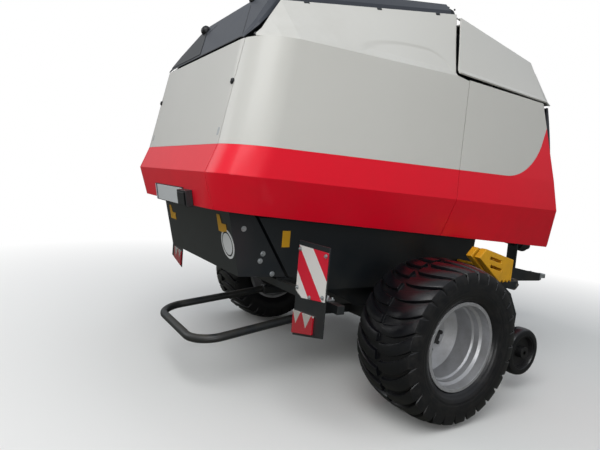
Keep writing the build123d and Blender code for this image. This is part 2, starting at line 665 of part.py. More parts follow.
PTO_BACK = (1520, 0, GEARBOX[1])
PTO_FRONT = (2850, 0, 960)
with BuildPart() as pto_shaft:
    start = Vector(AXLE_X + PTO_BACK[0], 0, PTO_BACK[2])
    end = Vector(AXLE_X + PTO_FRONT[0], 0, PTO_FRONT[2])
    run = end - start
    line = Plane(origin=start, z_dir=run)
    for near, far, radius in ((0, 130, 85), (130, 700, 50), (700, 1120, 43), (1120, 1240, 80), (1240, 1330, 40)):
        with BuildSketch(line.offset(near)):
            Circle(radius)
        extrude(amount=far - near)
    with BuildSketch(line.offset(1250)):
        Circle(17.5)
    extrude(amount=90, mode=Mode.SUBTRACT)
keep(pto_shaft, "pto_shaft")

HEAD_TOP = ((2420, 745), (3000, 645))
REST_X = 2550
with BuildPart() as pto_rest:
    fall = (HEAD_TOP[1][1] - HEAD_TOP[0][1]) / (HEAD_TOP[1][0] - HEAD_TOP[0][0])
    foot = HEAD_TOP[0][1] + (REST_X - HEAD_TOP[0][0]) * fall
    with BuildSketch(side()):
        outline((REST_X - 10, foot - 10 * fall), (REST_X + 10, foot + 10 * fall), (REST_X + 10, 1015), (REST_X - 10, 1015))
    extrude(amount=60, both=True)
    with BuildSketch(line.offset(1000)):
        Circle(43.3)
    extrude(amount=200, both=True, mode=Mode.SUBTRACT)
keep(pto_rest, "pto_rest")

# Pickup: side plates, cross tubes and lifting arms
PICKUP_SIDE = (
    (610, 640), (620, 760), (760, 860), (860, 860), (1040, 740), (1150, 560), (1140, 390), (1040, 290), (700, 250), (640, 300),
)
PICKUP_ARM = ((606, 660), (606, 740), (700, 828), (752, 828), (752, 770), (690, 680), (715, 270), (665, 270))
LOW_TUBE = (690, 290)
HIGH_TUBE = (730, 800)
with BuildPart() as pickup_frame:
    plate(PICKUP_SIDE, PICKUP_HALF, 8)
    plate(PICKUP_ARM, 640, 14)
    disc(*LOW_TUBE, 26, -PICKUP_HALF - 4, PICKUP_HALF + 4)
    disc(*HIGH_TUBE, 26, -PICKUP_HALF - 4, PICKUP_HALF + 4)
    for sign in (-1, 1):
        disc(*GAUGE, 15, sign * PICKUP_HALF, sign * (GAUGE_Y + 60))
        disc(*GUARD_PIVOT, 14, sign * (PICKUP_HALF - 35), sign * PICKUP_HALF)
    disc(*PICKUP_PIVOT, 25 + PIN_GAP, -700, 700, mode=Mode.SUBTRACT)
    disc(*REEL, 22 + PIN_GAP, -PICKUP_HALF - 50, PICKUP_HALF + 50, mode=Mode.SUBTRACT)
keep(pickup_frame, "pickup_frame")

BAND = 205
with BuildPart() as bands:
    for index in range(-TINE_ROWS // 2, TINE_ROWS // 2 + 1):
        with BuildSketch(side(index * TINE_PITCH + 26)):
            with BuildLine():
                for radius in (BAND, BAND - 4):
                    low = (REEL[0] + radius * cos(radians(-125)), REEL[1] + radius * sin(radians(-125)))
                    high = (REEL[0] + radius * cos(radians(100)), REEL[1] + radius * sin(radians(100)))
                    ThreePointArc(low, (REEL[0] + radius * cos(radians(-12)), REEL[1] + radius * sin(radians(-12))), high)
                    Line(high, (HIGH_TUBE[0] + 26.1, HIGH_TUBE[1] + radius - BAND))
                    Line(low, (LOW_TUBE[0] + 26.1, LOW_TUBE[1] + BAND - radius))
                Line((HIGH_TUBE[0] + 26.1, HIGH_TUBE[1]), (HIGH_TUBE[0] + 26.1, HIGH_TUBE[1] - 4))
                Line((LOW_TUBE[0] + 26.1, LOW_TUBE[1]), (LOW_TUBE[0] + 26.1, LOW_TUBE[1] + 4))
            make_face()
        extrude(amount=52)
keep(bands, "pickup_bands")

with BuildPart() as reel:
    disc(*REEL, 45, 20 - PICKUP_HALF, PICKUP_HALF - 20)
    disc(*REEL, 22, -PICKUP_HALF - 8, PICKUP_HALF + 8)
    for y in [share * (PICKUP_HALF - 30) for share in (-1, -1 / 3, 1 / 3, 1)]:
        disc(*REEL, BAR_RING + 18, y - 5, y + 5)
    for index in range(4):
        turn = radians(90 * index + 20)
        disc(REEL[0] + BAR_RING * cos(turn), REEL[1] + BAR_RING * sin(turn), 14, 25 - PICKUP_HALF, PICKUP_HALF - 25)
    places = []
    for index in range(4):
        for row in range(TINE_ROWS):
            y = (row - (TINE_ROWS - 1) / 2) * TINE_PITCH
            places.append(Pos(AXLE_X + REEL[0], y, REEL[1]) * Rot(0, -90 * index - 20, 0) * Pos((BAR_RING + TINE_TIP) / 2, 0, 0))
    with Locations(places):
        Box(TINE_TIP - BAR_RING, 8, 8)
keep(reel, "pickup_reel")

with BuildPart() as windguard:
    plate(((770, 795), (790, 840), (1150, 830), (1180, 800), (1150, 770), (800, 790)), GUARD_HALF - 8, 8)
    disc(960, 812, 18, -GUARD_HALF, GUARD_HALF)
    disc(*GUARD_PIVOT, 14 + PIN_GAP, -GUARD_HALF - 50, GUARD_HALF + 50, mode=Mode.SUBTRACT)
    disc(*GUARD_ROLLER, 15 + PIN_GAP, -GUARD_HALF - 50, GUARD_HALF + 50, mode=Mode.SUBTRACT)
keep(windguard, "windguard")

with BuildPart() as windguard_roller:
    disc(*GUARD_ROLLER, 48, 20 - GUARD_HALF, GUARD_HALF - 20)
    disc(*GUARD_ROLLER, 43, 40 - GUARD_HALF, GUARD_HALF - 40, mode=Mode.SUBTRACT)
    for sign in (-1, 1):
        disc(*GUARD_ROLLER, 15, sign * (GUARD_HALF - 45), sign * GUARD_HALF)
keep(windguard_roller, "windguard_roller")

for name, sign in (("left", 1), ("right", -1)):
    with BuildPart() as gauge:
        disc(*GAUGE, GAUGE_RADIUS, sign * (GAUGE_Y - 55), sign * (GAUGE_Y + 55))
        disc(*GAUGE, 15 + PIN_GAP, sign * (GAUGE_Y - 60), sign * (GAUGE_Y + 60), mode=Mode.SUBTRACT)
    keep(gauge, f"gauge_wheel_{name}")

# Light boards on their crossbar
BOARD_X = -1035
with BuildPart() as light_boards:
    block(-940, -890, -1340, 1340, 790, 840)
    for sign in (-1, 1):
        block(BOARD_X - 3, BOARD_X + 3, sign * 1044, sign * 1357, 605, 1171)
        block(BOARD_X, -900, sign * 1180, sign * 1220, 795, 835)
keep(light_boards, "light_boards")

with BuildPart() as warning_sheets:
    for sign in (-1, 1):
        with BuildSketch(across(BOARD_X - 6)):
            outline(*[(sign * y, z) for y, z in ((1050, 870), (1050, 1142), (1350, 1142), (1350, 870), (1120, 840))])
        extrude(amount=3)
keep(warning_sheets, "warning_sheets")

with BuildPart() as reflectors:
    for sign in (-1, 1):
        with BuildSketch(across(BOARD_X - 9)):
            outline((sign * 1075, 620), (sign * 1235, 620), (sign * 1155, 758))
        extrude(amount=6)
keep(reflectors, "reflectors")

# Wheel chocks in their holder
with BuildPart() as chocks:
    for y in (-1010, -1080):
        with BuildSketch(side(y)):
            outline((640, 880), (960, 880), (960, 910), (820, 1080), (640, 1110))
        extrude(amount=45)
    block(780, 820, -1120, -610 - WALL, 950, 990)
keep(chocks, "wheel_chocks")
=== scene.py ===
"""Looks of a towed round baler: its finishes, and the small fittings on frame, covers, wheels and signs."""
from math import asin, cos, pi, radians, sin

import bmesh
import bpy
from mathutils import Matrix, Vector


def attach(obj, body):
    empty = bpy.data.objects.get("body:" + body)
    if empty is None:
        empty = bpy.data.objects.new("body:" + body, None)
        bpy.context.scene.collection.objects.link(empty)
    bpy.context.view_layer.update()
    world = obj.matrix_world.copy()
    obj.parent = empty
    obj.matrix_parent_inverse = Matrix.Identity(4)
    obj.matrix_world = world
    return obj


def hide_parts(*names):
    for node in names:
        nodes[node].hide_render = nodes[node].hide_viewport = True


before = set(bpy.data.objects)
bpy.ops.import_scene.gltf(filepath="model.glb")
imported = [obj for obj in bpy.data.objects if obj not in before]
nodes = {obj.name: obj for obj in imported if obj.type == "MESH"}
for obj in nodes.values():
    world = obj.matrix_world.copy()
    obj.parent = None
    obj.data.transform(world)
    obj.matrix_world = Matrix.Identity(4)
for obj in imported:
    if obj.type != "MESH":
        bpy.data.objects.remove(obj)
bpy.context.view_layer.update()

# The baler is seen from behind its right wheel, at eye height, with a wide lens held a little askew.
# Places are metres in the CAD frame, and the focal length is in pixels of a picture 600 wide.
EYE = Vector((-3.40139, -3.46223, 1.51805))
YAW, PITCH, ROLL = 1.01044, -0.09066, 0.08336
FOCAL, PICTURE_WIDTH, SENSOR_WIDTH = 487.113, 600, 36
ahead = Vector((cos(YAW) * cos(PITCH), sin(YAW) * cos(PITCH), sin(PITCH)))
level_right = Vector((sin(YAW), -cos(YAW), 0))
level_up = level_right.cross(ahead)
right = cos(ROLL) * level_right + sin(ROLL) * level_up
up = cos(ROLL) * level_up - sin(ROLL) * level_right
camera = bpy.data.objects.new("camera", bpy.data.cameras.new("camera"))
camera.data.sensor_width = SENSOR_WIDTH
camera.data.lens = FOCAL / PICTURE_WIDTH * SENSOR_WIDTH
camera.matrix_world = Matrix.Translation(EYE) @ Matrix((right, up, -ahead)).transposed().to_4x4()
bpy.context.collection.objects.link(camera)
bpy.context.scene.camera = camera
bpy.context.scene.view_settings.view_transform = "Standard"

# The floor is a plain pale slab that takes the machine's soft shadow and fades to white far away. It
# lights and mirrors darker than it looks, as open ground does, so that the undersides stay in shade.
FLOOR_HALF, FLOOR_Z = 60, -0.002
FADE_START, FADE_END = 2.6, 7.0


def linear(code):
    """Linear RGBA of an sRGB hex colour."""
    parts = [int(code[i : i + 2], 16) / 255 for i in (1, 3, 5)]
    return [p / 12.92 if p <= 0.04045 else ((p + 0.055) / 1.055) ** 2.4 for p in parts] + [1]


def add_node(tree, kind, props=(), inputs=()):
    """Adds a node: props are its own settings, inputs a value or another node's output for each socket."""
    made = tree.nodes.new(kind)
    for name, value in dict(props).items():
        setattr(made, name, value)
    for name, value in dict(inputs).items():
        if isinstance(value, bpy.types.NodeSocket):
            tree.links.new(value, made.inputs[name])
        else:
            made.inputs[name].default_value = value
    return made


def new_finish(name):
    """A fresh material with its node tree and surface shader."""
    made = bpy.data.materials.new(name)
    made.use_nodes = True
    return made, made.node_tree, made.node_tree.nodes["Principled BSDF"]


corners = [(x * FLOOR_HALF, y * FLOOR_HALF, FLOOR_Z) for x, y in ((-1, -1), (1, -1), (1, 1), (-1, 1))]
floor_mesh = bpy.data.meshes.new("floor")
floor_mesh.from_pydata(corners, [], [(0, 1, 2, 3)])
floor = bpy.data.objects.new("floor", floor_mesh)
bpy.context.collection.objects.link(floor)
slab, tree, surface = new_finish("pale_slab")
surface.inputs["Roughness"].default_value = 0.9
where = add_node(tree, "ShaderNodeTexCoord").outputs["Object"]
reach = add_node(tree, "ShaderNodeVectorMath", {"operation": "LENGTH"}, {0: where}).outputs["Value"]
far = add_node(
    tree, "ShaderNodeMapRange", {"clamp": True},
    {"Value": reach, "From Min": FADE_START, "From Max": FADE_END},
).outputs["Result"]
in_view = add_node(tree, "ShaderNodeLightPath").outputs["Is Camera Ray"]
slab_tone = add_node(
    tree, "ShaderNodeMix", {"data_type": "RGBA"},
    {"Factor": in_view, "A": linear("#63645c"), "B": linear("#e2e2df")},
)
tree.links.new(slab_tone.outputs[2], surface.inputs["Base Color"])
seen = add_node(tree, "ShaderNodeMath", {"operation": "MULTIPLY"}, {0: far, 1: in_view}).outputs[0]
white = add_node(tree, "ShaderNodeEmission", (), {"Color": (1, 1, 1, 1), "Strength": 1.0}).outputs[0]
both = add_node(tree, "ShaderNodeMixShader", (), {0: seen, 1: surface.outputs[0], 2: white})
tree.links.new(both.outputs[0], tree.nodes["Material Output"].inputs["Surface"])
floor_mesh.materials.append(slab)

# An overcast sky, duller towards the horizon, lights everything and shows plain white behind the machine.
# Broad lamps stand high behind the camera, to its left and low down, all turned to the chamber.
SKY_LOW, SKY_HIGH, SKY_STRENGTH = -0.15, 0.7, 0.75
LAMP_AIM = Vector((-0.8, 0, 1.0))
# Name, place, width in metres and power
LAMPS = (
    ("high_lamp", (-5.5, -4.0, 7.5), 6.0, 400),
    ("left_lamp", (-7.0, 4.5, 4.0), 4.5, 100),
    ("low_lamp", (-4.0, -7.0, 0.7), 4.0, 190),
)
world = bpy.data.worlds.new("overcast_sky")
world.use_nodes = True
bpy.context.scene.world = world
tree = world.node_tree
tree.nodes.clear()
_, _, height = add_node(
    tree, "ShaderNodeSeparateXYZ", (), {0: add_node(tree, "ShaderNodeTexCoord").outputs["Generated"]}
).outputs
share = add_node(
    tree, "ShaderNodeMapRange", {"clamp": True}, {"Value": height, "From Min": SKY_LOW, "From Max": SKY_HIGH}
).outputs["Result"]
sky = add_node(
    tree, "ShaderNodeMix", {"data_type": "RGBA"},
    {"Factor": share, "A": linear("#8f8c86"), "B": linear("#e4e9f0")},
).outputs[2]
glow = add_node(tree, "ShaderNodeBackground", (), {"Color": sky, "Strength": SKY_STRENGTH}).outputs[0]
plain = add_node(tree, "ShaderNodeBackground", (), {"Color": (1, 1, 1, 1), "Strength": 1.0}).outputs[0]
in_view = add_node(tree, "ShaderNodeLightPath").outputs["Is Camera Ray"]
both = add_node(tree, "ShaderNodeMixShader", (), {0: in_view, 1: glow, 2: plain}).outputs[0]
add_node(tree, "ShaderNodeOutputWorld", (), {"Surface": both})
for name, spot, size, watts in LAMPS:
    lamp = bpy.data.lights.new(name, "AREA")
    lamp.size = size
    lamp.energy = watts
    holder = bpy.data.objects.new(name, lamp)
    holder.location = spot
    holder.rotation_euler = (LAMP_AIM - Vector(spot)).to_track_quat("-Z", "Y").to_euler()
    bpy.context.collection.objects.link(holder)


# Frame, gate, drawbar and boards are welded from steel sheet and box section, shot-blasted and
# powder-coated in one dark anthracite batch. Years of work leave dust on ledges and a mud haze low down.
# The coat is a satin skin with fine orange peel, drawn 6 mm wide because the real 1 mm would not show.

# How upright a face looks up where dust starts to lie and where it lies fully, and how thick it gets there
LEDGE_START, LEDGE_FULL, LEDGE_DUST = 0.5, 1.0, 0.35


def patches(tree, where, scale, start, end, most=1.0, detail=8.0, roughness=0.7):
    """Cloudy patches, from nothing up to most where the clouds are thickest, and the clouds themselves."""
    cloud = add_node(
        tree, "ShaderNodeTexNoise", (),
        {"Vector": where, "Scale": scale, "Detail": detail, "Roughness": roughness},
    ).outputs["Fac"]
    patch = add_node(
        tree, "ShaderNodeMapRange", {"clamp": True},
        {"Value": cloud, "From Min": start, "From Max": end, "To Max": most},
    )
    return patch.outputs["Result"], cloud


def dusty(tree, where, clean, dust, low, high, most):
    """Colour of a surface under field dust: thick below low, thin above high, and thicker on ledges."""
    _, _, rise = add_node(tree, "ShaderNodeSeparateXYZ", (), {0: where}).outputs
    depth = add_node(
        tree, "ShaderNodeMapRange", {"clamp": True},
        {"Value": rise, "From Min": high, "From Max": low, "To Max": most},
    ).outputs["Result"]
    normal = add_node(tree, "ShaderNodeNewGeometry").outputs["Normal"]
    _, _, slant = add_node(tree, "ShaderNodeSeparateXYZ", (), {0: normal}).outputs
    ledge = add_node(
        tree, "ShaderNodeMapRange", {"clamp": True},
        {"Value": slant, "From Min": LEDGE_START, "From Max": LEDGE_FULL, "To Max": LEDGE_DUST},
    ).outputs["Result"]
    total = add_node(tree, "ShaderNodeMath", {"operation": "ADD", "use_clamp": True}, {0: depth, 1: ledge})
    patch, _ = patches(tree, where, scale=7.0, start=0.35, end=0.7, roughness=0.65)
    film = add_node(
        tree, "ShaderNodeMath", {"operation": "MULTIPLY"}, {0: total.outputs[0], 1: patch}
    ).outputs[0]
    mixed = add_node(
        tree, "ShaderNodeMix", {"data_type": "RGBA"}, {"Factor": film, "A": clean, "B": linear(dust)}
    )
    return mixed.outputs[2], film


def soft_edges(tree, surface, height, strength, distance, radius):
    """Gives a surface its relief, over edges that catch the light as if rounded to a radius."""
    edge = add_node(tree, "ShaderNodeBevel", {"samples": 4}, {"Radius": radius}).outputs[0]
    bump = add_node(
        tree, "ShaderNodeBump", (),
        {"Height": height, "Strength": strength, "Distance": distance, "Normal": edge},
    )
    tree.links.new(bump.outputs["Normal"], surface.inputs["Normal"])


def dress(material, *names):
    """Gives CAD nodes this finish."""
    for name in names:
        mesh = nodes[name].data
        mesh.materials.clear()
        mesh.materials.append(material)


powder_coat, tree, surface = new_finish("powder_coated_steel_anthracite")
where = add_node(tree, "ShaderNodeTexCoord").outputs["Object"]
shade = add_node(tree, "ShaderNodeTexNoise", (), {"Vector": where, "Scale": 1.3, "Detail": 3.0})
paint = add_node(
    tree, "ShaderNodeMix", {"data_type": "RGBA"},
    {"Factor": shade.outputs["Fac"], "A": linear("#0e1217"), "B": linear("#1c2226")},
)
colour, film = dusty(tree, where, paint.outputs[2], "#4c463b", low=0.2, high=1.2, most=0.4)
peel = add_node(tree, "ShaderNodeTexNoise", (), {"Vector": where, "Scale": 170.0, "Detail": 2.0})
gloss = add_node(tree, "ShaderNodeMapRange", (), {"Value": film, "To Min": 0.34, "To Max": 0.8})
tree.links.new(colour, surface.inputs["Base Color"])
tree.links.new(gloss.outputs["Result"], surface.inputs["Roughness"])
soft_edges(tree, surface, peel.outputs["Fac"], strength=0.12, distance=0.002, radius=0.003)
dress(
    powder_coat, "main_frame", "axle", "gate_frame", "gate_lower_panel", "cover_struts", "net_box", "drawbar",
    "gearbox", "pto_rest", "pickup_frame", "windguard", "bale_ramp",
)

# Side, rear and front covers are glass-fibre mouldings on steel ribs, the upper part in a warm light
# grey-white gel coat and the lower belt in signal red. Gel coat shines like varnish and is a little wavy.
# The upper doors have a shallow recess moulded over their crease, arched and steeper towards the front.
RECESS_X, RECESS_Z = -0.838, 2.360
RECESS_BACK, RECESS_FRONT, RECESS_TOP = 0.600, 0.225, 0.165
# Where the lip starts and ends, as shares of those reaches, and how far the flat lower edge slopes up
LIP_START, LIP_END, SILL_HEIGHT = 0.88, 1.1, 0.045
WAVE_SHARE = 0.04
# Name, light and deep tone, dust, and the nodes
COVERS = (
    (
        "gel_coat_grey_white", "#cccbc6", "#c1c0ba", "#8f8a7c",
        ("door_left_white", "door_right_white", "front_panels_white", "front_roof", "rear_panel_white"),
    ),
    (
        "gel_coat_signal_red", "#ee0829", "#e20525", "#8a3a30",
        ("door_left_red", "door_right_red", "front_panels_red", "rear_panel_red"),
    ),
)


def door_recess(tree, where):
    """Height of the doors' skin: 0 in the recess and 1 around it."""
    x, _, z = add_node(tree, "ShaderNodeSeparateXYZ", (), {0: where}).outputs
    along = add_node(tree, "ShaderNodeMath", {"operation": "SUBTRACT"}, {0: x, 1: RECESS_X}).outputs[0]
    above = add_node(tree, "ShaderNodeMath", {"operation": "SUBTRACT"}, {0: z, 1: RECESS_Z}).outputs[0]
    front = add_node(tree, "ShaderNodeMath", {"operation": "DIVIDE"}, {0: along, 1: RECESS_FRONT}).outputs[0]
    back = add_node(tree, "ShaderNodeMath", {"operation": "DIVIDE"}, {0: along, 1: -RECESS_BACK}).outputs[0]
    side = add_node(tree, "ShaderNodeMath", {"operation": "MAXIMUM"}, {0: front, 1: back}).outputs[0]
    over = add_node(tree, "ShaderNodeMath", {"operation": "DIVIDE"}, {0: above, 1: RECESS_TOP}).outputs[0]
    both = add_node(tree, "ShaderNodeCombineXYZ", (), {"X": side, "Y": over}).outputs[0]
    arch = add_node(tree, "ShaderNodeVectorMath", {"operation": "LENGTH"}, {0: both}).outputs["Value"]
    lip = add_node(
        tree, "ShaderNodeMapRange", {"clamp": True, "interpolation_type": "SMOOTHERSTEP"},
        {"Value": arch, "From Min": LIP_START, "From Max": LIP_END},
    ).outputs["Result"]
    sill = add_node(
        tree, "ShaderNodeMapRange", {"clamp": True},
        {"Value": above, "From Min": SILL_HEIGHT, "From Max": 0.0},
    ).outputs["Result"]
    return add_node(tree, "ShaderNodeMath", {"operation": "MAXIMUM"}, {0: lip, 1: sill}).outputs[0]


for name, light, deep, dust, names in COVERS:
    gel_coat, tree, surface = new_finish(name)
    where = add_node(tree, "ShaderNodeTexCoord").outputs["Object"]
    shade = add_node(tree, "ShaderNodeTexNoise", (), {"Vector": where, "Scale": 0.9, "Detail": 4.0})
    coat = add_node(
        tree, "ShaderNodeMix", {"data_type": "RGBA"},
        {"Factor": shade.outputs["Fac"], "A": linear(light), "B": linear(deep)},
    )
    colour, film = dusty(tree, where, coat.outputs[2], dust, low=1.0, high=1.9, most=0.16)
    wave = add_node(tree, "ShaderNodeTexNoise", (), {"Vector": where, "Scale": 5.0, "Detail": 1.0})
    height = add_node(
        tree, "ShaderNodeMath", {"operation": "MULTIPLY"}, {0: wave.outputs["Fac"], 1: WAVE_SHARE}
    ).outputs[0]
    if name == "gel_coat_grey_white":
        recess = door_recess(tree, where)
        height = add_node(tree, "ShaderNodeMath", {"operation": "ADD"}, {0: recess, 1: height}).outputs[0]
    gloss = add_node(tree, "ShaderNodeMapRange", (), {"Value": film, "To Min": 0.34, "To Max": 0.55})
    tree.links.new(colour, surface.inputs["Base Color"])
    tree.links.new(gloss.outputs["Result"], surface.inputs["Roughness"])
    surface.inputs["Specular IOR Level"].default_value = 0.4
    surface.inputs["Coat Weight"].default_value = 0.12
    surface.inputs["Coat Roughness"].default_value = 0.12
    soft_edges(tree, surface, height, strength=1.0, distance=0.008, radius=0.005)
    dress(gel_coat, *names)

# The middle of the roof and the front lid are vacuum-formed sheets of dark grey ABS with a fine grain.
# The grain is drawn 5 mm wide to show, and gives a soft, even sheen under the sky.
grained_sheet, tree, surface = new_finish("vacuum_formed_abs_dark_grey")
where = add_node(tree, "ShaderNodeTexCoord").outputs["Object"]
grain = add_node(tree, "ShaderNodeTexNoise", (), {"Vector": where, "Scale": 200.0, "Detail": 3.0})
colour, film = dusty(tree, where, linear("#31353d"), "#6f6d67", low=1.0, high=2.6, most=0.12)
tree.links.new(colour, surface.inputs["Base Color"])
surface.inputs["Roughness"].default_value = 0.45
soft_edges(tree, surface, grain.outputs["Fac"], strength=0.25, distance=0.0015, radius=0.006)
dress(grained_sheet, "centre_roof", "front_lid")

# Flotation tyres are vulcanised black rubber on a textile carcass, with two rows of long curved lugs that
# run over the shoulders. The sides carry fine moulding rings, and soil stays in the grooves between lugs.
AXLE_X = -0.838
WHEEL_Y, WHEEL_Z = 1.246, 0.537
# Metres: from ring to ring, and how far from the axle the rings end and are full, and soil ends and is full
RING_SPACING, RINGS_OUT, RINGS_IN = 0.022, 0.42, 0.36
SOIL_OUT, SOIL_IN = 0.522, 0.50
LUG_COUNT = 28
CARCASS_SIDES = 6 * LUG_COUNT
# Half width and radius in mm, from the middle of the tread to the bead
CARCASS = (
    (0, 514), (60, 514), (95, 511.5), (125, 508), (160, 502), (195, 492.5), (220, 485), (236, 478),
    (243, 462), (248, 438), (250, 405), (248, 375), (241, 352), (240, 345), (234, 338), (230, 330),
    (222, 318), (213, 308), (203, 299), (203, 285),
)
# A lug's reach across the tread, its two edges round the tyre as start, slope and curl over that reach,
# how its top and its foot fall away outwards, and its last places on the shoulder
LUG_ENDS, LUG_STEPS = (14, 240), 12
LUG_EDGES = ((-24, -12, -94), (34, 36, -112))
CROWN_RADIUS, CROWN_FALL, CROWN_POWER = 537, 37, 2.56
FOOT_RADIUS, FOOT_FALL, FOOT_START, FOOT_POWER = 509, 40, 0.3, 1.6
SHOULDER, SHOULDER_FOOT = ((246.5, 478), (249.5, 446)), 430
# How far a lug's foot flares out, and the cut and the rounded corner of its edges
FLARE, CHAMFER, CORNER = 3, 6, 1.5


def add_piece(name, shape, material, body, edge=0.0, angle=35):
    """Turns a bmesh into a piece that moves with a body, its edges rounded to so many millimetres."""
    bmesh.ops.recalc_face_normals(shape, faces=shape.faces)
    mesh = bpy.data.meshes.new(name)
    shape.to_mesh(mesh)
    shape.free()
    mesh.materials.append(material)
    mesh.shade_smooth()
    mesh.set_sharp_from_angle(angle=radians(angle))
    made = bpy.data.objects.new(name, mesh)
    bpy.context.collection.objects.link(made)
    if edge:
        rounding = made.modifiers.new("rounding", "BEVEL")
        rounding.width = edge / 1000
        rounding.segments = 2
        rounding.limit_method = "ANGLE"
        rounding.angle_limit = radians(angle)
        rounding.harden_normals = True
    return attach(made, body)


def skin_rows(shape, rows, closed):
    """Adds faces between rows of vertices, each row a ring where closed says so."""
    for low, high in zip(rows, rows[1:]):
        for index in range(0 if closed else 1, len(low)):
            shape.faces.new((low[index - 1], low[index], high[index], high[index - 1]))


def both_halves(half):
    """Profile of a wheel from its outer half. A corner in the middle plane is used once."""
    return [(-y, radius) for y, radius in reversed(half)] + [corner for corner in half if corner[0]]


def wheel_point(side, y, radius, turn):
    """Place on a road wheel: y and radius in mm, turned about the axle from the top."""
    away = Vector((sin(turn) * radius / 1000, y / 1000, cos(turn) * radius / 1000))
    return Vector((AXLE_X + side * away.x, side * (WHEEL_Y + away.y), WHEEL_Z + away.z))


def lug_stations():
    """Share of the reach, half width, top and foot radius, from the middle of the tread to the shoulder."""
    for step in range(LUG_STEPS + 1):
        share = step / LUG_STEPS
        y = LUG_ENDS[0] + share * (LUG_ENDS[1] - LUG_ENDS[0])
        top = CROWN_RADIUS - CROWN_FALL * share**CROWN_POWER
        foot = FOOT_RADIUS - FOOT_FALL * max(share - FOOT_START, 0) ** FOOT_POWER
        yield share, y, top, foot
    for y, top in SHOULDER:
        yield 1, y, top, SHOULDER_FOOT


def add_lug(shape, side, half, start):
    """Adds a lug with chamfered edges to the outer or inner half of a tyre, begun at an angle."""
    rows = []
    for share, y, top, foot in lug_stations():
        left, right = [begin + slope * share + curl * share**2 for begin, slope, curl in LUG_EDGES]
        section = (
            (left - FLARE, foot), (left, top - CHAMFER),
            (left + CORNER, top - CORNER), (left + CHAMFER, top),
            (right - CHAMFER, top), (right - CORNER, top - CORNER),
            (right, top - CHAMFER), (right + FLARE, foot),
        )
        ring = [wheel_point(side, half * y, radius, start + asin(x / radius)) for x, radius in section]
        rows.append([shape.verts.new(place) for place in ring])
    skin_rows(shape, rows, False)
    shape.faces.new(rows[0])
    shape.faces.new(reversed(rows[-1]))


tyre_rubber, tree, surface = new_finish("vulcanised_rubber_black")
where = add_node(tree, "ShaderNodeTexCoord").outputs["Object"]
x, _, z = add_node(tree, "ShaderNodeSeparateXYZ", (), {0: where}).outputs
flat = add_node(tree, "ShaderNodeCombineXYZ", (), {"X": x, "Z": z}).outputs[0]
from_axle = add_node(
    tree, "ShaderNodeVectorMath", {"operation": "DISTANCE"}, {0: flat, 1: (AXLE_X, 0, WHEEL_Z)}
).outputs["Value"]
soil = add_node(
    tree, "ShaderNodeMapRange", {"clamp": True},
    {"Value": from_axle, "From Min": SOIL_OUT, "From Max": SOIL_IN},
).outputs["Result"]
thick, _ = patches(tree, where, scale=16.0, start=0.45, end=0.75, most=0.45, detail=9.0)
amount = add_node(tree, "ShaderNodeMath", {"operation": "MULTIPLY"}, {0: soil, 1: thick}).outputs[0]
colour = add_node(
    tree, "ShaderNodeMix", {"data_type": "RGBA"},
    {"Factor": amount, "A": linear("#0b0c10"), "B": linear("#28241f")},
)
turns = add_node(tree, "ShaderNodeMath", {"operation": "MULTIPLY"}, {0: from_axle, 1: 2 * pi / RING_SPACING})
ring = add_node(tree, "ShaderNodeMath", {"operation": "SINE"}, {0: turns.outputs[0]}).outputs[0]
bead = add_node(
    tree, "ShaderNodeMapRange", {"clamp": True},
    {"Value": from_axle, "From Min": RINGS_OUT, "From Max": RINGS_IN},
).outputs["Result"]
rings = add_node(tree, "ShaderNodeMath", {"operation": "MULTIPLY"}, {0: ring, 1: bead}).outputs[0]
rough = add_node(tree, "ShaderNodeTexNoise", (), {"Vector": where, "Scale": 120.0, "Detail": 4.0})
relief = add_node(tree, "ShaderNodeMath", {"operation": "ADD"}, {0: rings, 1: rough.outputs["Fac"]})
gloss = add_node(tree, "ShaderNodeMapRange", (), {"Value": amount, "To Min": 0.3, "To Max": 0.95})
tree.links.new(colour.outputs[2], surface.inputs["Base Color"])
tree.links.new(gloss.outputs["Result"], surface.inputs["Roughness"])
soft_edges(tree, surface, relief.outputs[0], strength=0.25, distance=0.002, radius=0.002)
for name, side in (("left", 1), ("right", -1)):
    shape = bmesh.new()
    rows = []
    for y, radius in both_halves(CARCASS):
        angles = [2 * pi * step / CARCASS_SIDES for step in range(CARCASS_SIDES)]
        rows.append([shape.verts.new(wheel_point(side, y, radius, angle)) for angle in angles])
    skin_rows(shape, rows + rows[:1], True)
    for half, shift in ((1, 0), (-1, 0.5)):
        for lug in range(LUG_COUNT):
            add_lug(shape, side, half, 2 * pi * (lug + shift) / LUG_COUNT)
    tyre = add_piece(f"tyre_{name}_lugged", shape, tyre_rubber, f"wheel_{name}")
    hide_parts(f"tyre_{name}")

# Wheel rims are pressed and rolled steel, primed and sprayed silver. The paint's aluminium flake gives a
# broad sheen, with brake dust and a brown film down in the dish.
silver_paint, tree, surface = new_finish("aluminium_flake_paint_on_steel")
where = add_node(tree, "ShaderNodeTexCoord").outputs["Object"]
patch, cloud = patches(tree, where, scale=11.0, start=0.4, end=0.75, most=0.4)
colour = add_node(
    tree, "ShaderNodeMix", {"data_type": "RGBA"},
    {"Factor": patch, "A": linear("#b0b1b4"), "B": linear("#75716a")},
)
tree.links.new(colour.outputs[2], surface.inputs["Base Color"])
surface.inputs["Metallic"].default_value = 0.55
surface.inputs["Roughness"].default_value = 0.36
soft_edges(tree, surface, cloud, strength=0.05, distance=0.001, radius=0.004)
dress(silver_paint, "rim_left", "rim_right")

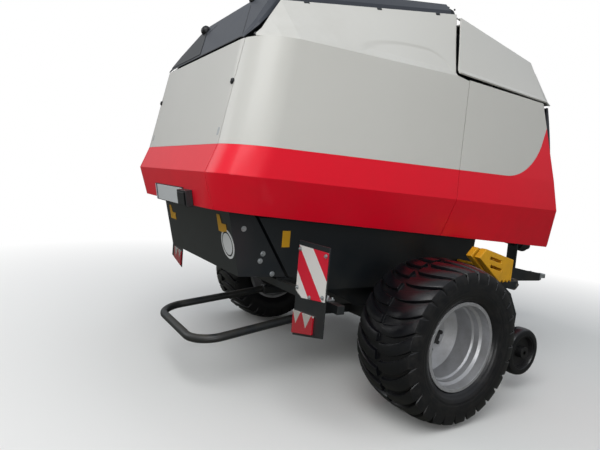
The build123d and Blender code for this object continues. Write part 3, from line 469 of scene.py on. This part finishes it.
# Hubs and brake drums are iron castings brushed with black chassis paint. The casting's skin shows through
# the paint, and grease makes it shine a little.
chassis_black, tree, surface = new_finish("cast_iron_black_paint")
where = add_node(tree, "ShaderNodeTexCoord").outputs["Object"]
cast = add_node(tree, "ShaderNodeTexNoise", (), {"Vector": where, "Scale": 90.0, "Detail": 5.0})
surface.inputs["Base Color"].default_value = linear("#111112")
surface.inputs["Roughness"].default_value = 0.5
soft_edges(tree, surface, cast.outputs["Fac"], strength=0.4, distance=0.002, radius=0.003)
dress(chassis_black, "hub_left", "hub_right")

# Two gauge wheels carry the pickup over the ground: small black rubber tyres on dished discs in black
# chassis paint, each turning on a stub outside the pickup's end.
GAUGE_X, GAUGE_Y, GAUGE_Z = 1010, 1200, 310
GAUGE_SIDES = 64
# Outer half of each profile: half width and radius in mm
GAUGE_TYRE = ((0, 190), (32, 188), (50, 180), (57, 158), (54, 136), (40, 128))
GAUGE_DISC = ((60, 0.5), (60, 46), (8, 48), (12, 116), (46, 124), (46, 131), (38, 130))


def point(x, y, z):
    """Place given in millimetres, with x from the axle."""
    return Vector((AXLE_X + x / 1000, y / 1000, z / 1000))


def circle(radius, sides):
    """Corners of a regular outline."""
    return [(radius * cos(2 * pi * i / sides), radius * sin(2 * pi * i / sides)) for i in range(sides)]


for name, side in (("left", 1), ("right", -1)):
    for part, half, material in (("tyre", GAUGE_TYRE, tyre_rubber), ("wheel", GAUGE_DISC, chassis_black)):
        shape = bmesh.new()
        rows = []
        for y, radius in both_halves(half):
            ring = [(GAUGE_X + x, side * (GAUGE_Y + y), GAUGE_Z + z) for z, x in circle(radius, GAUGE_SIDES)]
            rows.append([shape.verts.new(point(*place)) for place in ring])
        skin_rows(shape, rows + rows[:1], True)
        made = add_piece(f"gauge_{part}_{name}", shape, material, f"gauge_wheel_{name}", edge=1.5)
        if part == "tyre":
            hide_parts(f"gauge_wheel_{name}")

# Rollers, rotor and tines work bare: turned or drawn steel that the crop keeps polished, so that it
# mirrors softly, with a dull brown stain wherever the crop doesn't rub.
worn_steel, tree, surface = new_finish("crop_polished_steel")
where = add_node(tree, "ShaderNodeTexCoord").outputs["Object"]
patch, _ = patches(tree, where, scale=5.0, start=0.45, end=0.65)
colour = add_node(
    tree, "ShaderNodeMix", {"data_type": "RGBA"},
    {"Factor": patch, "A": linear("#84827e"), "B": linear("#5c4636")},
)
gloss = add_node(tree, "ShaderNodeMapRange", (), {"Value": patch, "To Min": 0.3, "To Max": 0.75})
tree.links.new(colour.outputs[2], surface.inputs["Base Color"])
tree.links.new(gloss.outputs["Result"], surface.inputs["Roughness"])
surface.inputs["Metallic"].default_value = 0.8
dress(worn_steel, "front_rollers", "gate_rollers", "feed_rotor", "pickup_reel", "windguard_roller")

# Baling belts are vulcanised rubber on three plies of nylon. Their face has slanting ribs, drawn
# about 40 mm apart, which grip the bale and break up the sheen.
belt_rubber, tree, surface = new_finish("ribbed_belting_rubber")
where = add_node(tree, "ShaderNodeTexCoord").outputs["Object"]
grip = add_node(tree, "ShaderNodeTexWave", {"bands_direction": "DIAGONAL"}, {"Vector": where, "Scale": 10.0})
bump = add_node(
    tree, "ShaderNodeBump", (), {"Height": grip.outputs["Fac"], "Strength": 0.5, "Distance": 0.003}
)
surface.inputs["Base Color"].default_value = linear("#26272a")
surface.inputs["Roughness"].default_value = 0.7
tree.links.new(bump.outputs["Normal"], surface.inputs["Normal"])
dress(belt_rubber, "front_belts", "gate_belts")

# Pickup bands, hitch eye, the stand's leg and most fasteners are zinc plated, which dulls to a pale
# blue-grey. Bolts have a hexagon head on a washer, and their sizes are across the flats.
RIGHT, LEFT, BACK, AHEAD, UP = (0, -1, 0), (0, 1, 0), (-1, 0, 0), (1, 0, 0), (0, 0, 1)
SIDES = (-1, 1)
zinc_plate, tree, surface = new_finish("zinc_plated_steel")
where = add_node(tree, "ShaderNodeTexCoord").outputs["Object"]
flower = add_node(tree, "ShaderNodeTexVoronoi", (), {"Vector": where, "Scale": 45.0}).outputs["Distance"]
tone = add_node(
    tree, "ShaderNodeMapRange", (), {"Value": flower, "From Max": 0.8, "To Min": 0.3, "To Max": 0.5}
)
surface.inputs["Base Color"].default_value = linear("#a9adaf")
surface.inputs["Metallic"].default_value = 0.8
tree.links.new(tone.outputs["Result"], surface.inputs["Roughness"])
dress(zinc_plate, "pickup_bands", "hitch_eye", "jack_leg")


def facing(place, normal, up=UP):
    """Frame of a place on a surface, for someone facing it: x to the right, y up, z towards them."""
    out = Vector(normal).normalized()
    across = Vector(up).cross(out).normalized()
    turn = Matrix((across, out.cross(across), out)).transposed().to_4x4()
    return Matrix.Translation(place) @ turn


def add_layers(shape, layers, at):
    """Adds a closed form in a frame from its layers, each an outline and its height in mm."""
    rows = []
    for outline, height in layers:
        rows.append([shape.verts.new(at @ Vector((x / 1000, y / 1000, height / 1000))) for x, y in outline])
    skin_rows(shape, rows, True)
    shape.faces.new(rows[-1])
    shape.faces.new(reversed(rows[0]))


def add_prism(shape, outline, low, high, at):
    """Adds a prism in a frame: its outline and its two heights in mm."""
    add_layers(shape, ((outline, low), (outline, high)), at)


def add_turned(shape, profile, at, sides=20):
    """Adds a turned form about a frame's z: radius and height in mm from its foot to its top."""
    add_layers(shape, [(circle(radius, sides), height) for radius, height in profile], at)


# Shares of a bolt's size: radius of its washer and of its head's corners, top of the washer and of the head
WASHER, HEAD, WASHER_TOP, HEAD_TOP = 0.95, 0.577, 0.12, 0.75
# How far a washer sinks into its surface, in mm, so that no gap shows
SUNK = 0.5
# Heads on the gate's folded sides, the boards, the pickup's ends, and four round each roller of the gate
GATE_SIDE_Y, GATE_SIDE_BOLTS = 683, ((-1235, 1186), (-1085, 1025), (-1102, 977), (-1006, 889))
BOARD_BOLTS_X, BOARD_BOLTS = -1044, ((1068, 1122), (1332, 1122), (1066, 892), (1332, 892), (1205, 862))
PICKUP_END_Y, PICKUP_BOLTS = 1058, ((690, 290), (730, 800), (790, 815), (960, 470))
FLANGE_Y, FLANGE_RADIUS, FLANGE_TURNS = 642, 44, (0.8, 2.4, 3.9, 5.5)
FLANGES = ((-1120, 1010), (-1270, 1950), (-860, 2480), (-250, 2700))
HITCH_HEAD_X, DRAWBAR_PLATE_X = 3062, 1100
# Body, size, then each place with the way its head faces
BOLTS = (
    ("gate", 19, [(x, -GATE_SIDE_Y, z, RIGHT) for x, z in GATE_SIDE_BOLTS]),
    ("gate", 19, [(x, GATE_SIDE_Y, z, LEFT) for x, z in GATE_SIDE_BOLTS]),
    ("chassis", 13, [(BOARD_BOLTS_X, side * y, z, BACK) for side in SIDES for y, z in BOARD_BOLTS]),
    ("chassis", 24, [(HITCH_HEAD_X, y, z, AHEAD) for y in (-62, 62) for z in (576, 624)]),
    ("chassis", 24, [
        (DRAWBAR_PLATE_X, side * y, z, AHEAD) for side in SIDES for y in (362, 498) for z in (945, 1055)
    ]),
    ("pickup", 17, [(x, side * PICKUP_END_Y, z, (0, side, 0)) for side in SIDES for x, z in PICKUP_BOLTS]),
    ("gate", 17, [
        (x + FLANGE_RADIUS * cos(turn), side * FLANGE_Y, z + FLANGE_RADIUS * sin(turn), (0, side, 0))
        for side in SIDES for x, z in FLANGES for turn in FLANGE_TURNS
    ]),
)
for number, (body, size, places) in enumerate(BOLTS, 1):
    shape = bmesh.new()
    for x, y, z, way in places:
        at = facing(point(x, y, z), way)
        add_turned(shape, ((size * WASHER, -SUNK), (size * WASHER, size * WASHER_TOP)), at)
        add_prism(shape, circle(size * HEAD, 6), size * WASHER_TOP, size * HEAD_TOP, at)
    add_piece(f"bolts_{number}", shape, zinc_plate, body, edge=0.6)

# The drive shaft turns inside a blow-moulded black polyethylene guard, ribbed along its thick part so
# that it keeps round, with a collar on the cone at each end. The guard is scuffed and half matt.
SHAFT_BACK, SHAFT_FRONT = point(1520, 0, 1220), point(2850, 0, 960)
RIBS, RIB_FOOT, RIB_TOP, RIB_SLOPE, RIB_WIDTH = range(150, 700, 50), 50, 53, 3, 12
# Each collar's place along the shaft and its radius, and how far it stands out
COLLARS, COLLAR_DEPTH, COLLAR_SLOPE, COLLAR_WIDTH = ((132, 66), (1106, 62)), 14, 4, 14
GUARD_SIDES = 32
guard_plastic, tree, surface = new_finish("blow_moulded_polyethylene_black")
where = add_node(tree, "ShaderNodeTexCoord").outputs["Object"]
scuff = add_node(tree, "ShaderNodeTexNoise", (), {"Vector": where, "Scale": 30.0, "Detail": 6.0})
gloss = add_node(
    tree, "ShaderNodeMapRange", (), {"Value": scuff.outputs["Fac"], "To Min": 0.35, "To Max": 0.65}
)
surface.inputs["Base Color"].default_value = linear("#141517")
tree.links.new(gloss.outputs["Result"], surface.inputs["Roughness"])
dress(guard_plastic, "pto_shaft")


def rib(along, foot, top, slope, width):
    """Profile of a rib round a shaft: its start along the shaft, two radii, slope of its sides and width."""
    return (foot, along), (top, along + slope), (top, along + width - slope), (foot, along + width)


shaft_line = facing(SHAFT_BACK, SHAFT_FRONT - SHAFT_BACK)
shape = bmesh.new()
for along in RIBS:
    profile = rib(along, RIB_FOOT, RIB_TOP, RIB_SLOPE, RIB_WIDTH)
    add_turned(shape, profile, shaft_line, GUARD_SIDES)
for along, radius in COLLARS:
    profile = rib(along, radius - COLLAR_DEPTH, radius, COLLAR_SLOPE, COLLAR_WIDTH)
    add_turned(shape, profile, shaft_line, GUARD_SIDES)
add_piece("shaft_guard_ribs", shape, guard_plastic, "chassis", edge=0.8)

# Wheel chocks are hollow yellow polyethylene wedges, rotation-moulded, matt and dusty, with two slots and
# a toothed foot. Both hang side by side on one yellow rod that stands out from the right chamber wall.
CHOCK = (
    (516, 1054), (585, 1122), (934, 1032), (931, 855), (905, 872), (885, 850), (862, 872), (838, 852),
    (815, 874), (793, 852),
)
CHOCK_WIDTH, CHOCK_FACES = 54, (-986, -1066)
SLOT, SLOT_PLACES = ((-50, 24), (-44, 44), (96, 8), (90, -12)), ((690, 1018), (702, 953))
ROD, ROD_START, ROD_END, ROD_RADIUS = (880, -616, 940), 0.5, 452, 12
yellow_plastic, tree, surface = new_finish("moulded_polyethylene_yellow")
where = add_node(tree, "ShaderNodeTexCoord").outputs["Object"]
colour, film = dusty(tree, where, linear("#d99f14"), "#7b6335", low=0.7, high=1.2, most=0.6)
pit = add_node(tree, "ShaderNodeTexNoise", (), {"Vector": where, "Scale": 150.0, "Detail": 3.0})
tree.links.new(colour, surface.inputs["Base Color"])
surface.inputs["Roughness"].default_value = 0.5
soft_edges(tree, surface, pit.outputs["Fac"], strength=0.2, distance=0.002, radius=0.008)


def add_pierced(shape, loops, low, high, at):
    """Adds a prism like add_prism, from an outline followed by its holes."""
    edges = []
    for loop in loops:
        ring = [shape.verts.new(at @ Vector((x / 1000, y / 1000, low / 1000))) for x, y in loop]
        edges += [shape.edges.new((a, b)) for a, b in zip(ring, ring[1:] + ring[:1])]
    filled = bmesh.ops.triangle_fill(shape, use_beauty=True, edges=edges)["geom"]
    faces = [made for made in filled if isinstance(made, bmesh.types.BMFace)]
    raised = bmesh.ops.extrude_face_region(shape, geom=faces, use_keep_orig=True)["geom"]
    verts = [made for made in raised if isinstance(made, bmesh.types.BMVert)]
    bmesh.ops.translate(shape, verts=verts, vec=at.to_3x3() @ Vector((0, 0, (high - low) / 1000)))


shape = bmesh.new()
slots = [[(x + a, z + b) for a, b in SLOT] for x, z in SLOT_PLACES]
for y in CHOCK_FACES:
    add_pierced(shape, [CHOCK] + slots, 0, CHOCK_WIDTH, facing(point(0, y, 0), RIGHT))
add_turned(shape, ((ROD_RADIUS, ROD_START), (ROD_RADIUS, ROD_END)), facing(point(*ROD), RIGHT), sides=16)
chocks = add_piece("wheel_chocks_moulded", shape, yellow_plastic, "chassis", edge=5.0)
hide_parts("wheel_chocks")

# Warning boards carry retroreflective sheet in red and white bars that slope down and out, 106 mm wide
# and 300 mm apart along the board. Glass beads under its clear face give a satin, slightly pearly look.
BAR_STEP = 0.300
BAR_START = 2.192 - 0.152
bar_sheet, tree, surface = new_finish("retroreflective_sheet_red_white")
where = add_node(tree, "ShaderNodeTexCoord").outputs["Object"]
_, y, z = add_node(tree, "ShaderNodeSeparateXYZ", (), {0: where}).outputs
outward = add_node(tree, "ShaderNodeMath", {"operation": "ABSOLUTE"}, {0: y}).outputs[0]
slope = add_node(tree, "ShaderNodeMath", {"operation": "ADD"}, {0: outward, 1: z}).outputs[0]
steps = add_node(tree, "ShaderNodeMath", {"operation": "SUBTRACT"}, {0: slope, 1: BAR_START}).outputs[0]
count = add_node(tree, "ShaderNodeMath", {"operation": "DIVIDE"}, {0: steps, 1: BAR_STEP}).outputs[0]
within_bar = add_node(tree, "ShaderNodeMath", {"operation": "FRACT"}, {0: count}).outputs[0]
is_red = add_node(tree, "ShaderNodeMath", {"operation": "LESS_THAN"}, {0: within_bar, 1: 0.5}).outputs[0]
bars = add_node(
    tree, "ShaderNodeMix", {"data_type": "RGBA"},
    {"Factor": is_red, "A": linear("#dcdad6"), "B": linear("#cf1430")},
)
cell = add_node(
    tree, "ShaderNodeTexVoronoi", {"feature": "DISTANCE_TO_EDGE"}, {"Vector": where, "Scale": 120.0}
).outputs["Distance"]
bump = add_node(tree, "ShaderNodeBump", (), {"Height": cell, "Strength": 0.15, "Distance": 0.001})
tree.links.new(bars.outputs[2], surface.inputs["Base Color"])
tree.links.new(bump.outputs["Normal"], surface.inputs["Normal"])
surface.inputs["Roughness"].default_value = 0.3
dress(bar_sheet, "warning_sheets")

# Rear lamps are one moulding each side with clear and red prismatic acrylic lenses in a zigzag: two clear
# peaks hang down into a red field. The joint is welded, so both colours share one face.
PEAK_Y, PEAK_HALF, PEAK_SLOPE, PEAK_TOP = 1.0385, 0.0535, -1.75, 0.775
LAMP_X, LAMP_DEPTH = -1038, 14
LAMP_OUTLINE = ((1052, 612), (1052, 752), (1262, 768), (1262, 660))
lens, tree, surface = new_finish("prismatic_acrylic_red_clear")
where = add_node(tree, "ShaderNodeTexCoord").outputs["Object"]
_, y, z = add_node(tree, "ShaderNodeSeparateXYZ", (), {0: where}).outputs
outward = add_node(tree, "ShaderNodeMath", {"operation": "ABSOLUTE"}, {0: y}).outputs[0]
shifted = add_node(tree, "ShaderNodeMath", {"operation": "SUBTRACT"}, {0: outward, 1: PEAK_Y}).outputs[0]
swing = add_node(tree, "ShaderNodeMath", {"operation": "PINGPONG"}, {0: shifted, 1: PEAK_HALF}).outputs[0]
edge_line = add_node(
    tree, "ShaderNodeMath", {"operation": "MULTIPLY_ADD"}, {0: swing, 1: PEAK_SLOPE, 2: PEAK_TOP}
).outputs[0]
is_clear = add_node(tree, "ShaderNodeMath", {"operation": "GREATER_THAN"}, {0: z, 1: edge_line}).outputs[0]
tint = add_node(
    tree, "ShaderNodeMix", {"data_type": "RGBA"},
    {"Factor": is_clear, "A": linear("#a50f22"), "B": linear("#a9a6a0")},
)
prism = add_node(tree, "ShaderNodeTexVoronoi", (), {"Vector": where, "Scale": 150.0}).outputs["Distance"]
bump = add_node(tree, "ShaderNodeBump", (), {"Height": prism, "Strength": 0.5, "Distance": 0.002})
tree.links.new(tint.outputs[2], surface.inputs["Base Color"])
surface.inputs["Roughness"].default_value = 0.15
surface.inputs["Coat Weight"].default_value = 1.0
tree.links.new(bump.outputs["Normal"], surface.inputs["Normal"])
shape = bmesh.new()
for side in SIDES:
    outline = [(-side * y, z) for y, z in LAMP_OUTLINE]
    add_prism(shape, outline, 0, LAMP_DEPTH, facing(point(LAMP_X, 0, 0), BACK))
lamps = add_piece("rear_lamps", shape, lens, "chassis", edge=2.5)
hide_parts("reflectors")

# The rear plate is aluminium under white reflective film, with a blue band at one end, in a black holder
# on the rear cover's lower facet. The black moulded housing of its lamp sits beside it.
FACET_BACK = (-0.984, 0, -0.179)
# Heights over the facet in mm: the holder's, the plate's underside and face, the housing's and its window's
HOLDER_TOP, PLATE_LOW, PLATE_TOP, HOUSING_TOP, WINDOW_TOP = 6, 5, 9, 46, 52
PLATE_HALF = 56


def plain_finish(name, colour, roughness):
    """A finish with one colour and one roughness all over."""
    made, _, surface = new_finish(name)
    surface.inputs["Base Color"].default_value = linear(colour)
    surface.inputs["Roughness"].default_value = roughness
    return made


def oblong(left, low, right, high):
    """Corners of a rectangle."""
    return (left, low), (right, low), (right, high), (left, high)


plate_white = plain_finish("reflective_white_on_aluminium", "#d3d6d8", 0.3)
plate_blue = plain_finish("reflective_blue_on_aluminium", "#16284a", 0.35)
black_abs = plain_finish("moulded_abs_black", "#0d0f13", 0.42)
rear_facet = facing(point(-1511, 0, 1350), FACET_BACK)
shape = bmesh.new()
add_prism(shape, oblong(-330, -62, 318, 62), 0, HOLDER_TOP, rear_facet)
add_piece("plate_holder", shape, black_abs, "gate", edge=1.5)
# Name, finish, and where it starts and ends across the plate
for name, material, start, end in (
    ("plate_face", plate_white, -278, 310),
    ("plate_band", plate_blue, -306, -278),
    ("plate_end", plate_white, -324, -306),
):
    shape = bmesh.new()
    add_prism(shape, oblong(start, -PLATE_HALF, end, PLATE_HALF), PLATE_LOW, PLATE_TOP, rear_facet)
    add_piece(name, shape, material, "gate", edge=1.0)
shape = bmesh.new()
add_prism(shape, oblong(318, -52, 488, 54), 0, HOUSING_TOP, rear_facet)
add_prism(shape, oblong(334, -40, 472, 42), HOUSING_TOP, WINDOW_TOP, rear_facet)
add_piece("plate_lamp_housing", shape, black_abs, "gate", edge=5.0)

# A round white vinyl disc with a black rim is stuck on the gate's dark lower panel. Yellow vinyl warning
# labels are stuck on both halves of the panel and on the frame's two cheeks. All are smooth and satin.
PANEL_BACK = (-0.974, 0, -0.226)
LABEL_THICKNESS, DISC_SIDES = 1.5, 64
label_white = plain_finish("printed_vinyl_white", "#d9dbdb", 0.4)
label_black = plain_finish("printed_vinyl_black", "#101114", 0.4)
label_yellow = plain_finish("printed_vinyl_yellow", "#d8a013", 0.4)
disc_place = facing(point(-1296, -591, 1075), PANEL_BACK)
# Name, finish, radius and two heights in mm
for name, material, radius, low, high in (
    ("disc_face", label_white, 98, 0, 2),
    ("disc_rim", label_black, 82, 2, 2.6),
    ("disc_middle", label_white, 72, 2.6, 3.2),
):
    shape = bmesh.new()
    add_prism(shape, circle(radius, DISC_SIDES), low, high, disc_place)
    add_piece(name, shape, material, "gate")
NOTCHED = ((-68, -56), (68, -56), (68, 2), (-4, 2), (-20, 58), (-68, 58))
UPRIGHT = oblong(-30, -55, 30, 55)
# Body, place, the way the label faces, and its outline
LABELS = (
    ("gate", (-1318, 522, 1171), PANEL_BACK, NOTCHED),
    ("gate", (-1326, -540, 1200), PANEL_BACK, NOTCHED),
    ("chassis", (-920, -683.5, 1123), RIGHT, UPRIGHT),
    ("chassis", (-920, 683.5, 1123), LEFT, UPRIGHT),
)
for number, (body, place, way, outline) in enumerate(LABELS, 1):
    shape = bmesh.new()
    add_prism(shape, outline, 0, LABEL_THICKNESS, facing(point(*place), way))
    add_piece(f"warning_label_{number}", shape, label_yellow, body)

# Each side door shuts on a black quarter-turn lock in the rear cover, with a zinc-plated catch plate below
# it and a round black stop at the roof's corner.
COVER_BACK = (-0.982, 0, 0.19)
LOCK_X, LOCK_Y, LOCK_Z = -1401, 732, 2067
STOP_X, STOP_Y, STOP_Z = -1297, 785, 2350
CATCH_X, CATCH_Y, CATCH_Z = -1456, 706, 1768
# Radius and height in mm of the lock's round body and of the stop, and the top of the lock's key
LOCK, STOP, KEY_TOP = ((19, -1), (19, 5), (14, 9)), ((12, -1), (12, 5), (8, 9)), 13
CATCH_THICKNESS = 4
shape = bmesh.new()
for side in SIDES:
    lock = facing(point(LOCK_X, side * LOCK_Y, LOCK_Z), COVER_BACK)
    add_turned(shape, LOCK, lock, sides=24)
    add_prism(shape, oblong(-4, -12, 4, 12), LOCK[-1][1], KEY_TOP, lock)
    add_turned(shape, STOP, facing(point(STOP_X, side * STOP_Y, STOP_Z), (-0.6, side * 0.78, 0.19)))
add_piece("door_locks", shape, black_abs, "gate", edge=0.8)
shape = bmesh.new()
for side in SIDES:
    at = facing(point(CATCH_X, side * CATCH_Y, CATCH_Z), COVER_BACK)
    add_prism(shape, oblong(-14, -24, 14, 24), 0, CATCH_THICKNESS, at)
add_piece("door_grips", shape, zinc_plate, "gate", edge=1.0)

# The middle sheet of the roof is sealed to the covers with a black strip down each rear corner. It has a
# black stop on top, and a black sheet with a round cap is drawn on the left of its slope, where that end is
# dark.
ROOF_BACK, ROOF_TOP = (-0.824, 0, 0.567), (-0.5, 0, 0.86)
SEAL_HALF, SEAL_LOW, SEAL_TOP = 3, -1, 2
# The stop is a button on a square foot, and the end sheet is cut to the roof's left edge
FOOT_LOW, FOOT_TOP, BUTTON = -4, 12, ((12, 12), (17, 20), (17, 30), (10, 36))
END_SHEET = ((-20, -128), (-690, -128), (-700, 0), (-604, 326), (-590, 326))
END_LOW, END_TOP, CAP = -1, 5, ((40, 4), (40, 22), (30, 38), (14, 46))
shape = bmesh.new()
for side in SIDES:
    low, high = point(-1338, side * 690, 2362), point(-1123, side * 300, 2677)
    run = high - low
    strip = oblong(-SEAL_HALF, 0, SEAL_HALF, run.length * 1000)
    add_prism(shape, strip, SEAL_LOW, SEAL_TOP, facing(low, ROOF_BACK, run))
add_piece("roof_joint_seals", shape, black_abs, "gate")
shape = bmesh.new()
at = facing(point(-1085, -250, 2734), ROOF_TOP, AHEAD)
add_prism(shape, oblong(-28, -16, 28, 16), FOOT_LOW, FOOT_TOP, at)
add_turned(shape, BUTTON, at, sides=24)
add_piece("roof_stop", shape, black_abs, "gate", edge=2.0)
shape = bmesh.new()
slope = facing(point(-1270, 0, 2462), ROOF_BACK)
add_prism(shape, END_SHEET, END_LOW, END_TOP, slope)
add_turned(shape, CAP, slope @ Matrix.Translation((-0.520, 0.255, 0)), sides=32)
add_piece("roof_end_sheet", shape, black_abs, "gate", edge=1.5)

# The gate turns on a thick tube across the frame. Each of its ends carries a keeper plate with a ring
# of six bolts, under the same greasy black chassis paint as the hubs.
PIVOT_X, PIVOT_Y, PIVOT_Z = 440, 646, 2900
# Radius of the ring in metres, then radius and heights of a bolt's head in mm
RING_RADIUS, PIVOT_BOLT = 0.068, ((8, -1), (8, 5))
shape = bmesh.new()
for side in SIDES:
    at = facing(point(PIVOT_X, side * PIVOT_Y, PIVOT_Z), (0, side, 0))
    for turn in range(0, 360, 60):
        spoke = at @ Matrix.Rotation(radians(turn), 4, "Z") @ Matrix.Translation((RING_RADIUS, 0, 0))
        add_turned(shape, PIVOT_BOLT, spoke, sides=6)
add_piece("pivot_bolts", shape, chassis_black, "gate", edge=0.8)

# The light boards are cut from anthracite sheet, with a lower edge that rises outwards, and hang from
# square brackets on a crossbar. Bright zinc-plated clamps with four nuts each hold them to the bar.
BOARD_X, BOARD_THICKNESS = -1032, 6
BOARD = ((1044, 595), (1357, 667), (1357, 1171), (1044, 1171))
BRACKET, BRACKET_LENGTH = oblong(1180, 795, 1220, 835), 132
BAR_X, BAR_Z, BAR_HALF, BAR_LENGTH_HALF = -915, 815, 25, 1340
CLAMP_Y, CLAMP_Z, CLAMP_THICKNESS = 1200, 841, 8
NUT_PLACES, NUT = ((-22, -20), (-22, 20), (22, -20), (22, 20)), ((9, 8), (9, 18))
shape = bmesh.new()
at = facing(point(BOARD_X, 0, 0), BACK)
for side in SIDES:
    add_prism(shape, [(-side * y, z) for y, z in BOARD], 0, BOARD_THICKNESS, at)
    add_prism(shape, [(-side * y, z) for y, z in BRACKET], -BRACKET_LENGTH, 0, at)
bar = oblong(-BAR_HALF, -BAR_HALF, BAR_HALF, BAR_HALF)
add_prism(shape, bar, -BAR_LENGTH_HALF, BAR_LENGTH_HALF, facing(point(BAR_X, 0, BAR_Z), LEFT))
boards = add_piece("light_boards_cut", shape, powder_coat, "chassis", edge=1.5)
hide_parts("light_boards")
shape = bmesh.new()
for side in SIDES:
    at = facing(point(BAR_X, side * CLAMP_Y, CLAMP_Z), UP, BACK)
    add_prism(shape, oblong(-34, -30, 34, 30), 0, CLAMP_THICKNESS, at)
    for x, y in NUT_PLACES:
        add_turned(shape, NUT, at @ Matrix.Translation((x / 1000, y / 1000, 0)), sides=6)
add_piece("board_clamps", shape, zinc_plate, "chassis", edge=1.0)
